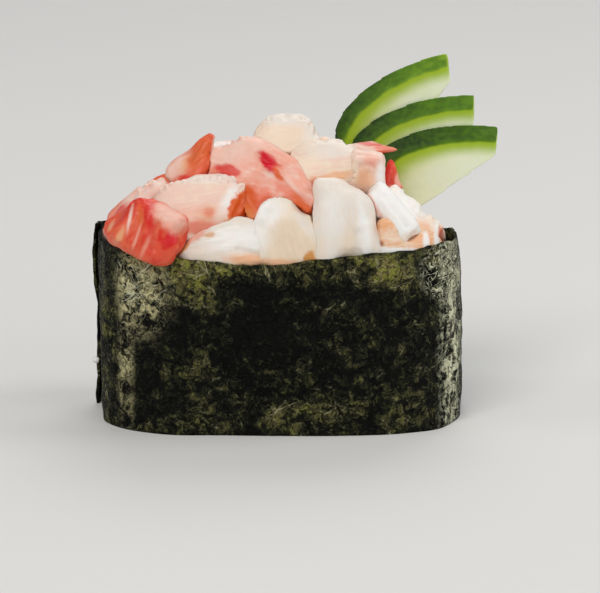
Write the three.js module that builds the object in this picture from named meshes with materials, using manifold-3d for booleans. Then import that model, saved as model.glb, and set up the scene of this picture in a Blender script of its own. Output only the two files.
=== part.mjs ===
// Gunkan sushi: a strip of nori stood round a bed of vinegared rice and heaped with flakes of crab meat, with
// three slices of cucumber spread behind them. Millimetres, +Z up. The origin is on the table under the
// middle of the rice, +X runs along the band to the right and +Y to the back.
import * as THREE from "three";
import { mergeVertices } from "three/addons/utils/BufferGeometryUtils.js";
import Module from "manifold-3d";

const wasm = await Module();
wasm.setup();

const { degToRad, lerp, smoothstep, clamp } = THREE.MathUtils;

// ---------------------------------------------------------------- driving dimensions

const GAP = 0.3; // between neighbouring pieces

// The nori's middle surface in plan is a superellipse, and its strip goes once round it and on over its own
// start. Turns are degrees round the plan from +X.
const BAND = { centreX: 0.6, halfLength: 27.9, halfDepth: 15.4, squareness: 3.1 };
const NORI = { thick: 0.45, height: 28.7, columns: 92, rows: 7 };
const WRAP = { start: 118, lapFrom: 440, lapTo: 474, flapFrom: 505, end: 534 };
const FLAP = { lift: 0.45, rise: 0.4 }; // how far the free end stands off, and above the rim
const RIM_SAG = { depth: 2.2, middleX: -3, reach: 14 }; // the front of the rim hangs lower than its ends
const RIM_DIP = { depth: 1.5, turn: 394, reach: 30 }; // and so does its right end, towards the back
const RIM_LEAN = { inward: 1.1, fromZ: 23, turn: 368, reach: 34 }; // the right end also leans in at the top
const RIPPLES = [
  { size: 0.2, turns: 5, pitch: 4.1, phase: 0 },
  { size: 0.14, turns: 9, pitch: -2.9, phase: 1.3 },
  { size: 0.1, turns: 14, pitch: 2.1, phase: 4.2 },
];

const RICE = { inset: 1.1, top: 17, foot: 0.55, corners: 48 };
const GRAIN = { halfLength: 2.7, halfWidth: 1.3, halfHeight: 1.05, sides: 6, rings: 4, tilt: 0.2 };
const GRAIN_BED = { spacing: 4.2, edge: 3.4, level: 0.62, uneven: 0.25, tries: 4000 };

const HEAP = { centreX: -0.8, halfLength: 23.6, halfDepth: 12, height: 13.4, springZ: 24.4 };
const HEAP_SURFACE = { sides: 22, rings: 11, lump: 0.05, waves: [7, 3, 5] };
const SHRED = {
  count: 13, length: 7, width: 2.4, thick: 2, bow: 0.8, sunk: 0.5,
  tips: [2.6, 2.6], seed: 3, sides: 6, rings: 4,
};
const FLAKE = { sides: 12, rings: 7, squareness: 3.2, ridge: 0.12, ridges: 9 };
const RUFFLE = { size: 0.34, waves: 3, along: [3, 9], across: [2, 7], widthShare: 0.3 }; // of a flake's skin
const HOLLOW = { sides: 10, rings: 6, gap: 0.75 }; // the plainer room that a flake has in the heap

// A cucumber slice is an arc of skin round the middle of an ellipse, trimmed at its right end and cut
// straight along the heart, which slopes down to its tail.
const CUCUMBER = { halfWide: 16.4, halfTall: 8.2, thick: 2.1, arcSegments: 20 };
const SKIN_SLANT = { across: -0.3, up: 0.95 }; // how far the skin runs for each millimetre through a slice
const SLICE_CUT = { endX: 3.4, spare: 1.6, heartZ: 5.3, heartSlope: 0.7, tailX: -14, endTurn: 12 };
const TAIL_BULGE = { x: -16.6, z: -4.6 };
const TRIM = { long: 20, tall: 60 }; // a block that more than covers what is trimmed off
// Where the middle of each slice's arc lies, how far the slice is turned anticlockwise as seen from the front
// and leans back, and how far its trimmed end is turned back again.
const SLICES = {
  cucumber_front: { middle: [30.9, 6.6, 33.9], turn: 0, lean: 3, endTilt: 0 },
  cucumber_middle: { middle: [28.3, 9.3, 38.1], turn: 7, lean: 3, endTilt: 2 },
  cucumber_back: { middle: [26, 12.1, 43.9], turn: 20, lean: 3, endTilt: 9 },
};

// Each flake has a spine's start, middle and end with its widths there, a thickness, the way its broad side
// faces, and how blunt its two tips are (2 is round, 4 is square, under 2 is pointed). Flakes that lie on the
// others come first, and each one is cut to clear those before it.
const FRONT_FLAKES = {
  crab_front_petal: {
    spine: [[11, -13.4, 24.4], [10.4, -12.8, 32], [9, -10, 39]],
    widths: [10.6, 9.6, 5.6], thick: 3.4, facing: [0.1, -0.92, 0.35], tips: [4.5, 3.4], colour: "white",
  },
  crab_white_lobe: {
    spine: [[2.6, -13.2, 24.6], [1.4, -12.4, 30.4], [-0.8, -10, 35.2]],
    widths: [9.6, 9.2, 6], thick: 4, facing: [-0.1, -0.9, 0.4], tips: [3.8, 3], colour: "white",
  },
  crab_white_left: {
    spine: [[-15, -12.2, 26.6], [-8.8, -12.6, 28.5], [-2, -12.6, 28.9]],
    widths: [4.6, 8, 9], thick: 4, facing: [-0.1, -0.9, 0.4], tips: [2.4, 4], colour: "white",
  },
  crab_red_corner: {
    spine: [[-26, -7.8, 32], [-20.6, -12.6, 32], [-14.8, -15.5, 28.9]],
    widths: [6, 9, 8.2], thick: 4.2, facing: [-0.45, -0.75, 0.5], tips: [2.8, 4.2], colour: "red",
  },
  crab_pink_slab: {
    spine: [[-18.4, -10.7, 34.2], [-12.1, -10.9, 34.5], [-5.3, -8.8, 36.3]],
    widths: [9.8, 9, 8.2], thick: 3.4, facing: [-0.05, -0.85, 0.5], tips: [4.2, 4.6], colour: "pink",
  },
  crab_white_stick: {
    spine: [[14.7, -8.4, 37], [17.7, -10.2, 33.7], [20.8, -12, 30]],
    widths: [3.4, 3.8, 3.4], thick: 3.4, facing: [0.2, -0.8, 0.5], tips: [3.4, 3.6], colour: "white",
  },
  crab_pink_crown: {
    spine: [[-9.6, -4.8, 39], [-2.6, -8, 37.6], [5.6, -10.8, 34]],
    widths: [12.8, 12.6, 5.2], thick: 4.4, facing: [-0.1, -0.8, 0.6], tips: [3.8, 2.8], colour: "pink",
  },
  crab_orange_peak: {
    spine: [[-15.2, -5.6, 36.6], [-12.6, -4.8, 40], [-9.9, -3.2, 44.5]],
    widths: [7.8, 5.4, 1.6], thick: 3.8, facing: [-0.4, -0.8, 0.45], tips: [3, 1.9], colour: "red",
  },
  crab_white_tip: {
    spine: [[-21, -6.8, 33.8], [-18.8, -6.4, 35.8], [-16.8, -5.8, 37]],
    widths: [3.2, 3.4, 3], thick: 3.2, facing: [-0.4, -0.8, 0.45], tips: [2.6, 2.6], colour: "white",
  },
  crab_cream_ridge: {
    spine: [[2.2, -4.4, 38.8], [7.2, -5.2, 39.5], [12.4, -3.8, 40.2]],
    widths: [6.8, 8.4, 7], thick: 4.6, facing: [0.1, -0.8, 0.6], tips: [3, 3.6], colour: "cream",
  },
  crab_top_lobe: {
    spine: [[-3.4, -1, 42.2], [1.6, -0.6, 43], [6, 0.6, 43.7]],
    widths: [7.4, 8, 7], thick: 6, facing: [0.05, -0.85, 0.5], tips: [2.7, 2.8], colour: "cream",
  },
  crab_curl: {
    spine: [[14.2, -0.6, 37.4], [13.9, -4.4, 38.6], [13.7, -7.8, 39.2]],
    widths: [5.6, 6.4, 6.4], thick: 6.8, facing: [0, -0.2, 1], tips: [2.4, 3.2], colour: "cream",
  },
  crab_rim_right: {
    spine: [[14.8, -12.2, 28], [20, -11.4, 28.2], [25, -7.4, 27.6]],
    widths: [6, 6, 5], thick: 4, facing: [0.3, -0.8, 0.45], tips: [3, 2.6], colour: "cream",
  },
  crab_right_slope: {
    spine: [[17.2, -5, 34.8], [19.6, -6, 31.2], [25.3, -4.4, 28.8]],
    widths: [4.2, 5.2, 5.2], thick: 4.6, facing: [0.45, -0.6, 0.66], tips: [2.6, 3.4], colour: "white",
  },
  crab_red_thorn: {
    spine: [[17, -1, 34.4], [17.4, 0, 36.6], [17.8, 0.8, 39.4]],
    widths: [3, 2.2, 0.8], thick: 2.4, facing: [0.2, -0.9, 0.3], tips: [3, 1.8], colour: "red",
  },
  crab_red_tip: {
    spine: [[9.6, 0.4, 41], [14, 0.5, 41.6], [19, 0.8, 41.3]],
    widths: [4.6, 4, 2.6], thick: 1.5, facing: [0.05, -0.2, 1], tips: [2.4, 1.7], colour: "red",
  },
};
const BACK_FLAKES = {
  crab_left_end: {
    spine: [[-25.2, -1, 27.8], [-23.2, 2, 30.8], [-19, 3.4, 34.4]],
    widths: [7.6, 8.4, 7.4], thick: 4, facing: [-0.75, 0.1, 0.66], tips: [2.6, 2.6], colour: "pink",
  },
  crab_right_end: {
    spine: [[25.4, 3.4, 25.6], [23, 4, 28], [19.4, 3, 30.4]],
    widths: [6, 6.4, 5.6], thick: 3.6, facing: [0.7, 0.1, 0.7], tips: [2.6, 2.6], colour: "white",
  },
  crab_back_red: {
    spine: [[-22.4, 9.4, 28.8], [-16.4, 10.4, 32], [-9.8, 8.6, 35.6]],
    widths: [7, 8.4, 6.4], thick: 4, facing: [-0.1, 0.8, 0.6], tips: [3, 2.4], colour: "red",
  },
  crab_back_white: {
    spine: [[-14.6, 12.8, 27], [-7.6, 12.8, 30], [0, 12.6, 30.4]],
    widths: [5.6, 6.8, 6.6], thick: 3.6, facing: [0, 0.9, 0.4], tips: [2.2, 3], colour: "white",
  },
  crab_back_crown: {
    spine: [[-13.4, 3.6, 37.6], [-6.4, 4.8, 38.8], [1.2, 7, 36.8]],
    widths: [8, 9, 7], thick: 4.2, facing: [-0.1, 0.6, 0.8], tips: [2.6, 3], colour: "pink",
  },
  crab_back_top: {
    spine: [[1.4, 5.4, 38.4], [5.6, 5.2, 40], [10, 4.4, 39.2]],
    widths: [6, 7.2, 5.6], thick: 4.2, facing: [0.1, 0.5, 0.86], tips: [2.6, 3], colour: "white",
  },
  crab_back_petal: {
    spine: [[7.2, 13.2, 26], [6.4, 12.6, 31.4], [4.4, 10.6, 36]],
    widths: [9, 8, 5.6], thick: 3.6, facing: [0.1, 0.92, 0.35], tips: [4, 2.4], colour: "white",
  },
  crab_back_slope: {
    spine: [[12.2, 12.4, 31.2], [17.4, 11.8, 30.6], [22.4, 9.2, 28.2]],
    widths: [7, 7.4, 6], thick: 3.4, facing: [0.3, 0.8, 0.5], tips: [2.4, 3], colour: "pink",
  },
};

const FINISHES = {
  nori: { color: 0x1b2214, roughness: 0.45 },
  rice: { color: 0xf1eee6, roughness: 0.5 },
  cucumber: { color: 0xc3d694, roughness: 0.35 },
  white: { color: 0xf3e9e0, roughness: 0.45 },
  cream: { color: 0xf6dcc4, roughness: 0.45 },
  pink: { color: 0xf2b3a4, roughness: 0.45 },
  red: { color: 0xe1493a, roughness: 0.4 },
};

// ---------------------------------------------------------------- solids, numbers and plans

/** The closed solid that a geometry bounds. */
function solidOf(geometry) {
  const bare = geometry.clone();
  for (const name of ["normal", "uv"]) bare.deleteAttribute(name);
  const merged = mergeVertices(bare, 1e-4);
  const mesh = new wasm.Mesh({
    numProp: 3,
    vertProperties: merged.attributes.position.array,
    triVerts: new Uint32Array(merged.index.array),
  });
  return new wasm.Manifold(mesh);
}

/** The geometry of a solid. */
function geometryOf(solid) {
  const mesh = solid.getMesh();
  const geometry = new THREE.BufferGeometry();
  geometry.setAttribute("position", new THREE.BufferAttribute(new Float32Array(mesh.vertProperties), 3));
  geometry.setIndex(new THREE.BufferAttribute(new Uint32Array(mesh.triVerts), 1));
  geometry.computeVertexNormals();
  return geometry;
}

/** The largest of the bodies that a solid falls into. */
function largestBody(solid) {
  return solid.decompose().reduce((most, body) => (body.volume() > most.volume() ? body : most));
}

/** Random numbers from 0 to 1, the same ones on every run. */
function seededRandom(seed) {
  let state = seed;
  return () => {
    state = (Math.imul(state, 1664525) + 1013904223) >>> 0;
    return state / 2 ** 32;
  };
}

/** A bell curve of height 1 about a middle. */
function bell(value, middle, reach) {
  return Math.exp(-(((value - middle) / reach) ** 2));
}

/** A power that keeps the value's sign. */
function signedPower(value, power) {
  return Math.sign(value) * Math.abs(value) ** power;
}

/** The value at a share of the way along the parabola through a start, a middle and an end. */
function alongParabola([start, middle, end], share) {
  const rest = 1 - share;
  return start * rest * (rest - share) + middle * 4 * share * rest + end * share * (share - rest);
}

/** A point of the band's plan, `turn` degrees round from +X, moved `outward` along its normal. */
function planPoint(turn, outward = 0) {
  const { centreX, halfLength: a, halfDepth: b, squareness: n } = BAND;
  const x = a * signedPower(Math.cos(degToRad(turn)), 2 / n);
  const y = b * signedPower(Math.sin(degToRad(turn)), 2 / n);
  const normal = new THREE.Vector2(signedPower(x / a, n - 1) / a, signedPower(y / b, n - 1) / b);
  return new THREE.Vector2(x + centreX, y).addScaledVector(normal.normalize(), outward);
}

/** A straight-sided block of the rice's plan from one height to another. */
function planBlock(bottom, top) {
  const { corners, inset } = RICE;
  const outline = Array.from({ length: corners }, (_, i) => planPoint((360 * i) / corners, -inset));
  const settings = { depth: top - bottom, bevelEnabled: false };
  return solidOf(new THREE.ExtrudeGeometry(new THREE.Shape(outline), settings).translate(0, 0, bottom));
}

// ---------------------------------------------------------------- nori

/** The line that the strip follows round the rice, once round and on over its own start. */
class WrapLine extends THREE.Curve {
  getPoint(share) {
    const turn = lerp(WRAP.start, WRAP.end, share);
    const lapped = (NORI.thick + GAP) * smoothstep(turn, WRAP.lapFrom, WRAP.lapTo);
    const flap = FLAP.lift * smoothstep(turn, WRAP.flapFrom, WRAP.end) ** 2;
    const { x, y } = planPoint(turn, lapped + flap);
    return new THREE.Vector3(x, y, 0);
  }
}

/** How high the strip's upper edge stands at a point of the plan. */
function rimHeight({ x, y }, turn) {
  const front = clamp(-y / BAND.halfDepth, 0, 1);
  const sag = RIM_SAG.depth * front * bell(x, RIM_SAG.middleX, RIM_SAG.reach);
  const dip = RIM_DIP.depth * bell(turn, RIM_DIP.turn, RIM_DIP.reach);
  return NORI.height - sag - dip + FLAP.rise * smoothstep(turn, WRAP.flapFrom, WRAP.end) ** 2;
}

/** How far the strip leans in over the rice at a height. */
function leanIn(turn, z) {
  const { inward, fromZ, turn: middle, reach } = RIM_LEAN;
  return inward * bell(turn, middle, reach) * clamp((z - fromZ) / (NORI.height - fromZ), 0, 1) ** 2;
}

/** The strip's ripple, the same for both layers where it laps. */
function ripple(turn, z) {
  const round = degToRad(turn);
  const swing = ({ size, turns, pitch, phase }) => size * Math.sin(turns * round + z / pitch + phase);
  return RIPPLES.reduce((sum, wave) => sum + swing(wave), 0);
}

/** A closed sheet, both faces split alike. place(u, v, side) gives the points of its sides 1 and -1. */
function sheetGeometry(columns, rows, place) {
  const grid = new THREE.PlaneGeometry(1, 1, columns, rows);
  const { uv } = grid.attributes;
  const corners = Array.from({ length: uv.count }, (_, i) => [uv.getX(i), uv.getY(i)]);
  const points = [1, -1].flatMap((side) => corners.map(([u, v]) => place(u, v, side)));
  const faces = Array.from(grid.index.array);
  for (let i = 0, count = faces.length; i < count; i += 3) {
    const [a, b, c] = faces.slice(i, i + 3).map((corner) => corner + uv.count);
    faces.push(a, c, b);
  }
  const wide = columns + 1;
  const edge = [
    ...Array.from({ length: columns }, (_, i) => columns - i),
    ...Array.from({ length: rows }, (_, i) => i * wide),
    ...Array.from({ length: columns }, (_, i) => rows * wide + i),
    ...Array.from({ length: rows }, (_, i) => (rows - i) * wide + columns),
  ];
  edge.forEach((from, i) => {
    const to = edge[(i + 1) % edge.length];
    faces.push(to, from, from + uv.count, to, from + uv.count, to + uv.count);
  });
  return new THREE.BufferGeometry().setFromPoints(points).setIndex(faces);
}

/** The nori strip as a sheet bent along the wrap line, thicker on both faces and taller by `grow`. */
function noriSolid(grow = 0) {
  const line = new WrapLine();
  line.arcLengthDivisions = 1200;
  const place = (u, v, side) => {
    const turn = lerp(WRAP.start, WRAP.end, line.getUtoTmapping(u));
    const point = line.getPointAt(u);
    const tangent = line.getTangentAt(u);
    const outward = new THREE.Vector3(tangent.y, -tangent.x, 0);
    const z = v * (rimHeight(point, turn) + grow);
    const off = ripple(turn, z) - leanIn(turn, z) + side * (NORI.thick / 2 + grow);
    return point.addScaledVector(outward, off).setZ(z);
  };
  return solidOf(sheetGeometry(NORI.columns, NORI.rows, place));
}

// ---------------------------------------------------------------- rice

/** One grain of cooked rice, nearly level and turned about +Z. */
function grainSolid({ x, y }, random) {
  const { halfLength, halfWidth, halfHeight, sides, rings, tilt } = GRAIN;
  const geometry = new THREE.SphereGeometry(1, sides, rings).rotateZ(Math.PI / 2);
  geometry.scale(halfLength, halfWidth, halfHeight);
  geometry.rotateY(tilt * (random() - 0.5)).rotateZ(random() * Math.PI);
  return solidOf(geometry.translate(x, y, GRAIN_BED.level + GRAIN_BED.uneven * random()));
}

/** Where the grains of the underside lie, one of them in the middle. */
function grainCentres(random) {
  const { spacing, edge, tries } = GRAIN_BED;
  const [halfLength, halfDepth] = [BAND.halfLength - edge, BAND.halfDepth - edge];
  const centres = [new THREE.Vector2(0, 0)];
  for (let i = 0; i < tries; i++) {
    const [u, v] = [2 * random() - 1, 2 * random() - 1];
    const spot = new THREE.Vector2(u * halfLength, v * halfDepth);
    const inside = Math.abs(u) ** BAND.squareness + Math.abs(v) ** BAND.squareness < 1;
    if (inside && centres.every((other) => other.distanceTo(spot) > spacing)) centres.push(spot);
  }
  return centres;
}

/** The bed of rice: a pressed core and the grains of its underside, flat where they lie on the table. */
function riceSolid() {
  const random = seededRandom(11);
  const grains = grainCentres(random).map((centre) => grainSolid(centre, random));
  return wasm.Manifold.union([planBlock(RICE.foot, RICE.top), ...grains]).intersect(planBlock(0, RICE.top));
}

// ---------------------------------------------------------------- crab meat

/** Low waves over a flake's skin, as a function of the place along and across it. */
function ruffler(random) {
  const waves = Array.from({ length: RUFFLE.waves }, () => ({
    phase: random() * 2 * Math.PI,
    alongRate: lerp(...RUFFLE.along, random()),
    acrossRate: lerp(...RUFFLE.across, random()),
  }));
  const size = RUFFLE.size / waves.length;
  return (along, across) => {
    const swing = (wave) => Math.sin(wave.phase + wave.alongRate * along + wave.acrossRate * across);
    return waves.reduce((sum, wave) => sum + size * swing(wave), 0);
  };
}

/** A flake of meat, larger by `grow`: a blunted ellipsoid bent along its spine and ridged along it. */
function flakeSolid(flake, grow = 0) {
  const { spine, widths, thick, facing, tips, seed } = flake;
  const { sides = FLAKE.sides, rings = FLAKE.rings } = flake;
  const [from, through, to] = spine.map((point) => new THREE.Vector3(...point));
  const handle = through.multiplyScalar(2).addScaledVector(from, -0.5).addScaledVector(to, -0.5);
  const curve = new THREE.QuadraticBezierCurve3(from, handle, to);
  const face = new THREE.Vector3(...facing);
  const ruffle = ruffler(seededRandom(seed));
  const geometry = new THREE.SphereGeometry(1, sides, rings);
  const position = geometry.attributes.position;
  for (let i = 0; i < position.count; i++) {
    const unit = new THREE.Vector3().fromBufferAttribute(position, i);
    const tip = 2 / tips[unit.y < 0 ? 0 : 1];
    const ring = Math.max(Math.hypot(unit.x, unit.z), 1e-6);
    const round = ring ** tip;
    const along = signedPower(unit.y, tip);
    const across = signedPower(unit.x / ring, 2 / FLAKE.squareness) * round;
    const out = signedPower(unit.z / ring, 2 / FLAKE.squareness) * round;
    const share = clamp((1 + along) / 2, 0, 1);
    const tangent = curve.getTangent(share);
    const side = new THREE.Vector3().crossVectors(tangent, face).normalize();
    const up = new THREE.Vector3().crossVectors(side, tangent);
    const wave = ruffle(along, across);
    const ridge = 1 + FLAKE.ridge * Math.cos(across * FLAKE.ridges + seed);
    const halfWidth = (alongParabola(widths, share) / 2) * (1 + RUFFLE.widthShare * wave) + grow;
    const halfThick = (thick / 2) * ridge + grow;
    const point = curve.getPoint(share).addScaledVector(tangent, along * grow);
    point.addScaledVector(side, across * halfWidth).addScaledVector(up, out * halfThick + wave * round);
    position.setXYZ(i, point.x, point.y, point.z);
  }
  return solidOf(geometry);
}

/** The rounded mound under the flakes. */
function moundSolid() {
  const { centreX, halfLength, halfDepth, height, springZ } = HEAP;
  const { sides, rings, lump, waves } = HEAP_SURFACE;
  const geometry = new THREE.SphereGeometry(1, sides, rings).rotateX(Math.PI / 2);
  const position = geometry.attributes.position;
  for (let i = 0; i < position.count; i++) {
    const { x, y, z } = new THREE.Vector3().fromBufferAttribute(position, i);
    const swell = 1 + lump * Math.sin(waves[0] * x + 1) * Math.cos(waves[1] * y + waves[2] * z);
    position.setXYZ(i, x * halfLength * swell, y * halfDepth * swell, z * height * swell);
  }
  return solidOf(geometry.translate(centreX, 0, springZ));
}

/** A shred of meat that lies on the mound in a random place and direction. */
function shredSolid(random) {
  const { centreX, halfLength, halfDepth, height, springZ } = HEAP;
  const { length, width, thick, bow, sunk, tips, seed, sides, rings } = SHRED;
  const round = random() * 2 * Math.PI;
  const up = lerp(0.25, 0.95, random());
  const level = Math.sqrt(1 - up ** 2);
  const unit = new THREE.Vector3(level * Math.cos(round), level * Math.sin(round), up);
  const size = new THREE.Vector3(halfLength, halfDepth, height);
  const normal = unit.clone().divide(size).normalize();
  const centre = unit.multiply(size).add(new THREE.Vector3(centreX, 0, springZ));
  const lie = new THREE.Vector3(random() - 0.5, random() - 0.5, random() - 0.5).cross(normal).normalize();
  const half = (length / 2) * lerp(0.7, 1.3, random());
  const spine = [-1, 0, 1].map((step) => {
    const depth = step === 0 ? bow - sunk : -sunk;
    return centre.clone().addScaledVector(lie, step * half).addScaledVector(normal, depth).toArray();
  });
  const [facing, widths] = [normal.toArray(), [width, width, width]];
  return flakeSolid({ spine, widths, thick, facing, tips, seed, sides, rings });
}

/** The heap of crab meat that fills the band over the rice, with the shreds that show between the flakes. */
function heapSolid() {
  const floor = RICE.top + GAP;
  const random = seededRandom(5);
  const shreds = Array.from({ length: SHRED.count }, () => shredSolid(random));
  const filling = wasm.Manifold.union([planBlock(floor, HEAP.springZ), moundSolid(), ...shreds]);
  return filling.intersect(planBlock(floor, HEAP.springZ + 2 * HEAP.height));
}

// ---------------------------------------------------------------- cucumber

/** The outline of a slice's front face, larger by `grow`. */
function sliceOutline(grow) {
  const { halfWide, halfTall } = CUCUMBER;
  const { endX, spare, heartZ, heartSlope, tailX } = SLICE_CUT;
  const beyond = endX + spare;
  const heart = (x) => heartZ + heartSlope * (x - endX) - grow * Math.hypot(1, heartSlope);
  const outline = new THREE.Shape();
  outline.absellipse(0, 0, halfWide + grow, halfTall + grow, Math.acos(beyond / halfWide), Math.PI, false);
  outline.quadraticCurveTo(TAIL_BULGE.x - grow, TAIL_BULGE.z, tailX, heart(tailX));
  outline.lineTo(beyond, heart(beyond));
  return outline;
}

/** A slanted slice off the side of a cucumber, larger by `grow`. */
function sliceSolid({ middle, turn, lean, endTilt }, grow = 0) {
  const { endX, heartZ, endTurn } = SLICE_CUT;
  const depth = CUCUMBER.thick + 2 * grow;
  const settings = { depth, bevelEnabled: false, curveSegments: CUCUMBER.arcSegments };
  const slab = new THREE.ExtrudeGeometry(sliceOutline(grow), settings).translate(0, 0, -depth);
  slab.applyMatrix4(new THREE.Matrix4().makeShear(0, 0, 0, 0, -SKIN_SLANT.across, -SKIN_SLANT.up));
  const end = new THREE.BoxGeometry(TRIM.long, TRIM.tall, TRIM.long).translate(TRIM.long / 2 + grow, 0, 0);
  end.rotateY(degToRad(-endTurn)).rotateZ(degToRad(-endTilt)).translate(endX, heartZ, 0);
  const place = new THREE.Matrix4()
    .makeRotationX(degToRad(90 - lean))
    .multiply(new THREE.Matrix4().makeRotationZ(degToRad(turn)))
    .setPosition(middle[0], middle[1] - grow, middle[2]);
  const [whole, trimmed] = [slab, end].map((geometry) => solidOf(geometry.applyMatrix4(place)));
  return whole.subtract(trimmed);
}

// ---------------------------------------------------------------- the whole piece

const gunkan = new THREE.Group();
gunkan.name = "gunkan_sushi";

/** Adds a named mesh to the piece. */
function addPart(name, solid, finish) {
  const mesh = new THREE.Mesh(geometryOf(solid), new THREE.MeshStandardMaterial(FINISHES[finish]));
  mesh.name = name;
  gunkan.add(mesh);
}

const room = [noriSolid(GAP)]; // what the pieces yet to come keep clear of
const hollows = [...room]; // and what the heap does

/** Adds flakes, each cut to clear what is there already. */
function addFlakes(flakes) {
  for (const [name, flake] of Object.entries(flakes)) {
    const shape = { ...flake, seed: gunkan.children.length + 3 };
    const whole = flakeSolid(shape);
    addPart(name, largestBody(whole.subtract(wasm.Manifold.union(room))), flake.colour);
    room.push(flakeSolid(shape, GAP));
    hollows.push(flakeSolid({ ...shape, sides: HOLLOW.sides, rings: HOLLOW.rings }, HOLLOW.gap));
  }
}

addFlakes(FRONT_FLAKES);
const frontRoom = wasm.Manifold.union(room);
for (const [name, slice] of Object.entries(SLICES)) {
  addPart(name, largestBody(sliceSolid(slice).subtract(frontRoom)), "cucumber");
  const cleared = sliceSolid(slice, GAP);
  room.push(cleared);
  hollows.push(cleared);
}
addFlakes(BACK_FLAKES);
addPart("crab_heap", largestBody(heapSolid().subtract(wasm.Manifold.union(hollows))), "cream");
addPart("nori_band", noriSolid(), "nori");
addPart("rice_bed", riceSolid(), "rice");

export default gunkan;
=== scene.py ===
"""Gunkan sushi with crab meat and cucumber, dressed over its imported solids.

Sizes and places are given in millimetres and screen colours from 0 to 255. The meshes are in
metres, in the frame of the solids: the origin on the table under the rice, +X along the band to
the right, +Y to the back.
"""

import logging
import math
import random
from collections.abc import Callable, Iterable
from dataclasses import dataclass, replace
from enum import Enum

import bpy
from mathutils import Euler, Matrix, Quaternion, Vector


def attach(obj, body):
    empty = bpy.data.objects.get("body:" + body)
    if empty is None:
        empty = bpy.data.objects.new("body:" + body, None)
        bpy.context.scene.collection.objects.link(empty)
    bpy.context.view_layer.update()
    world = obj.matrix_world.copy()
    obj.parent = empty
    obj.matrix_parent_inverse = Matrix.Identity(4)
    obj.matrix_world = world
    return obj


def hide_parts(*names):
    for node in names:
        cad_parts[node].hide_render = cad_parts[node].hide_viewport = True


LOG = logging.getLogger("gunkan")
MM = 0.001
ALONG = Vector((1, 0, 0))  # the band's long way
MERGED = 0.003  # corners of a solid that are nearer than this are one corner
NOISE_MEAN = 0.5  # what noise varies about
SEED_STEP = (7.3, 3.1, 5.7)  # how far apart two seeds that follow each other read their relief

Socket = bpy.types.NodeSocket
Point = tuple[float, float, float]
Line = tuple[Point, Point]
Colour = tuple[float, float, float, float]

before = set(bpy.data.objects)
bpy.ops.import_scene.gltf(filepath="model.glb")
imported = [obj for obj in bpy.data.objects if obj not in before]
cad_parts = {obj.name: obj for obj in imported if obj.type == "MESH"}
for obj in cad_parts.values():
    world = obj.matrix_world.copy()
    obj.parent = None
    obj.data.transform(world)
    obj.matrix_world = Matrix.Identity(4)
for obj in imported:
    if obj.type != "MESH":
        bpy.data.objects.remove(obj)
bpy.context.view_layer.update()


def linear(red: int, green: int, blue: int) -> Colour:
    """The linear colour of a screen colour.

    Args:
        red: its red.
        green: its green.
        blue: its blue.

    Returns:
        The colour, opaque.
    """
    shares = [channel / 255 for channel in (red, green, blue)]
    return (*[s / 12.92 if s <= 0.04045 else ((s + 0.055) / 1.055) ** 2.4 for s in shares], 1.0)


def signed_power(value: float, power: float) -> float:
    """A value's size raised to a power, with the value's sign."""
    return math.copysign(abs(value) ** power, value)


@dataclass(frozen=True)
class Oval:
    """The squarish oval that the band and the rice are in plan."""

    half_length: float
    half_depth: float
    middle_x: float = 0.6
    squareness: float = 3.1

    def spot(self, across: float, back: float, inset: float = 0) -> tuple[float, float]:
        """A point of the outline, from the oval's middle.

        Args:
            across: the part of its direction along +X.
            back: the part of its direction along +Y.
            inset: how far inside the outline it is.

        Returns:
            Its x and y.
        """
        power = 2 / self.squareness
        x = (self.half_length - inset) * signed_power(across, power)
        return x, (self.half_depth - inset) * signed_power(back, power)

    def share_round(self, x: float, y: float) -> float:
        """Where round the oval a place is.

        Args:
            x: the place's x.
            y: the place's y.

        Returns:
            The share of a whole turn, from the back over the left.
        """
        power = self.squareness / 2
        across = signed_power((x - self.middle_x) / self.half_length, power)
        return math.atan2(-across, signed_power(y / self.half_depth, power)) / math.tau % 1

    def way_round(self, steps: int) -> list[float]:
        """How far it is along the outline, from the back over the left.

        Args:
            steps: how many equal turns there are in a whole one.

        Returns:
            The way to each turn, from 0 to the whole outline.
        """
        turns = [2 * math.pi * step / steps for step in range(steps + 1)]
        points = [Vector(self.spot(-math.sin(turn), math.cos(turn))) for turn in turns]
        ways = [0.0]
        for one, other in zip(points, points[1:]):
            ways.append(ways[-1] + (other - one).length)
        return ways


# ---------------------------------------- shaders


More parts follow.
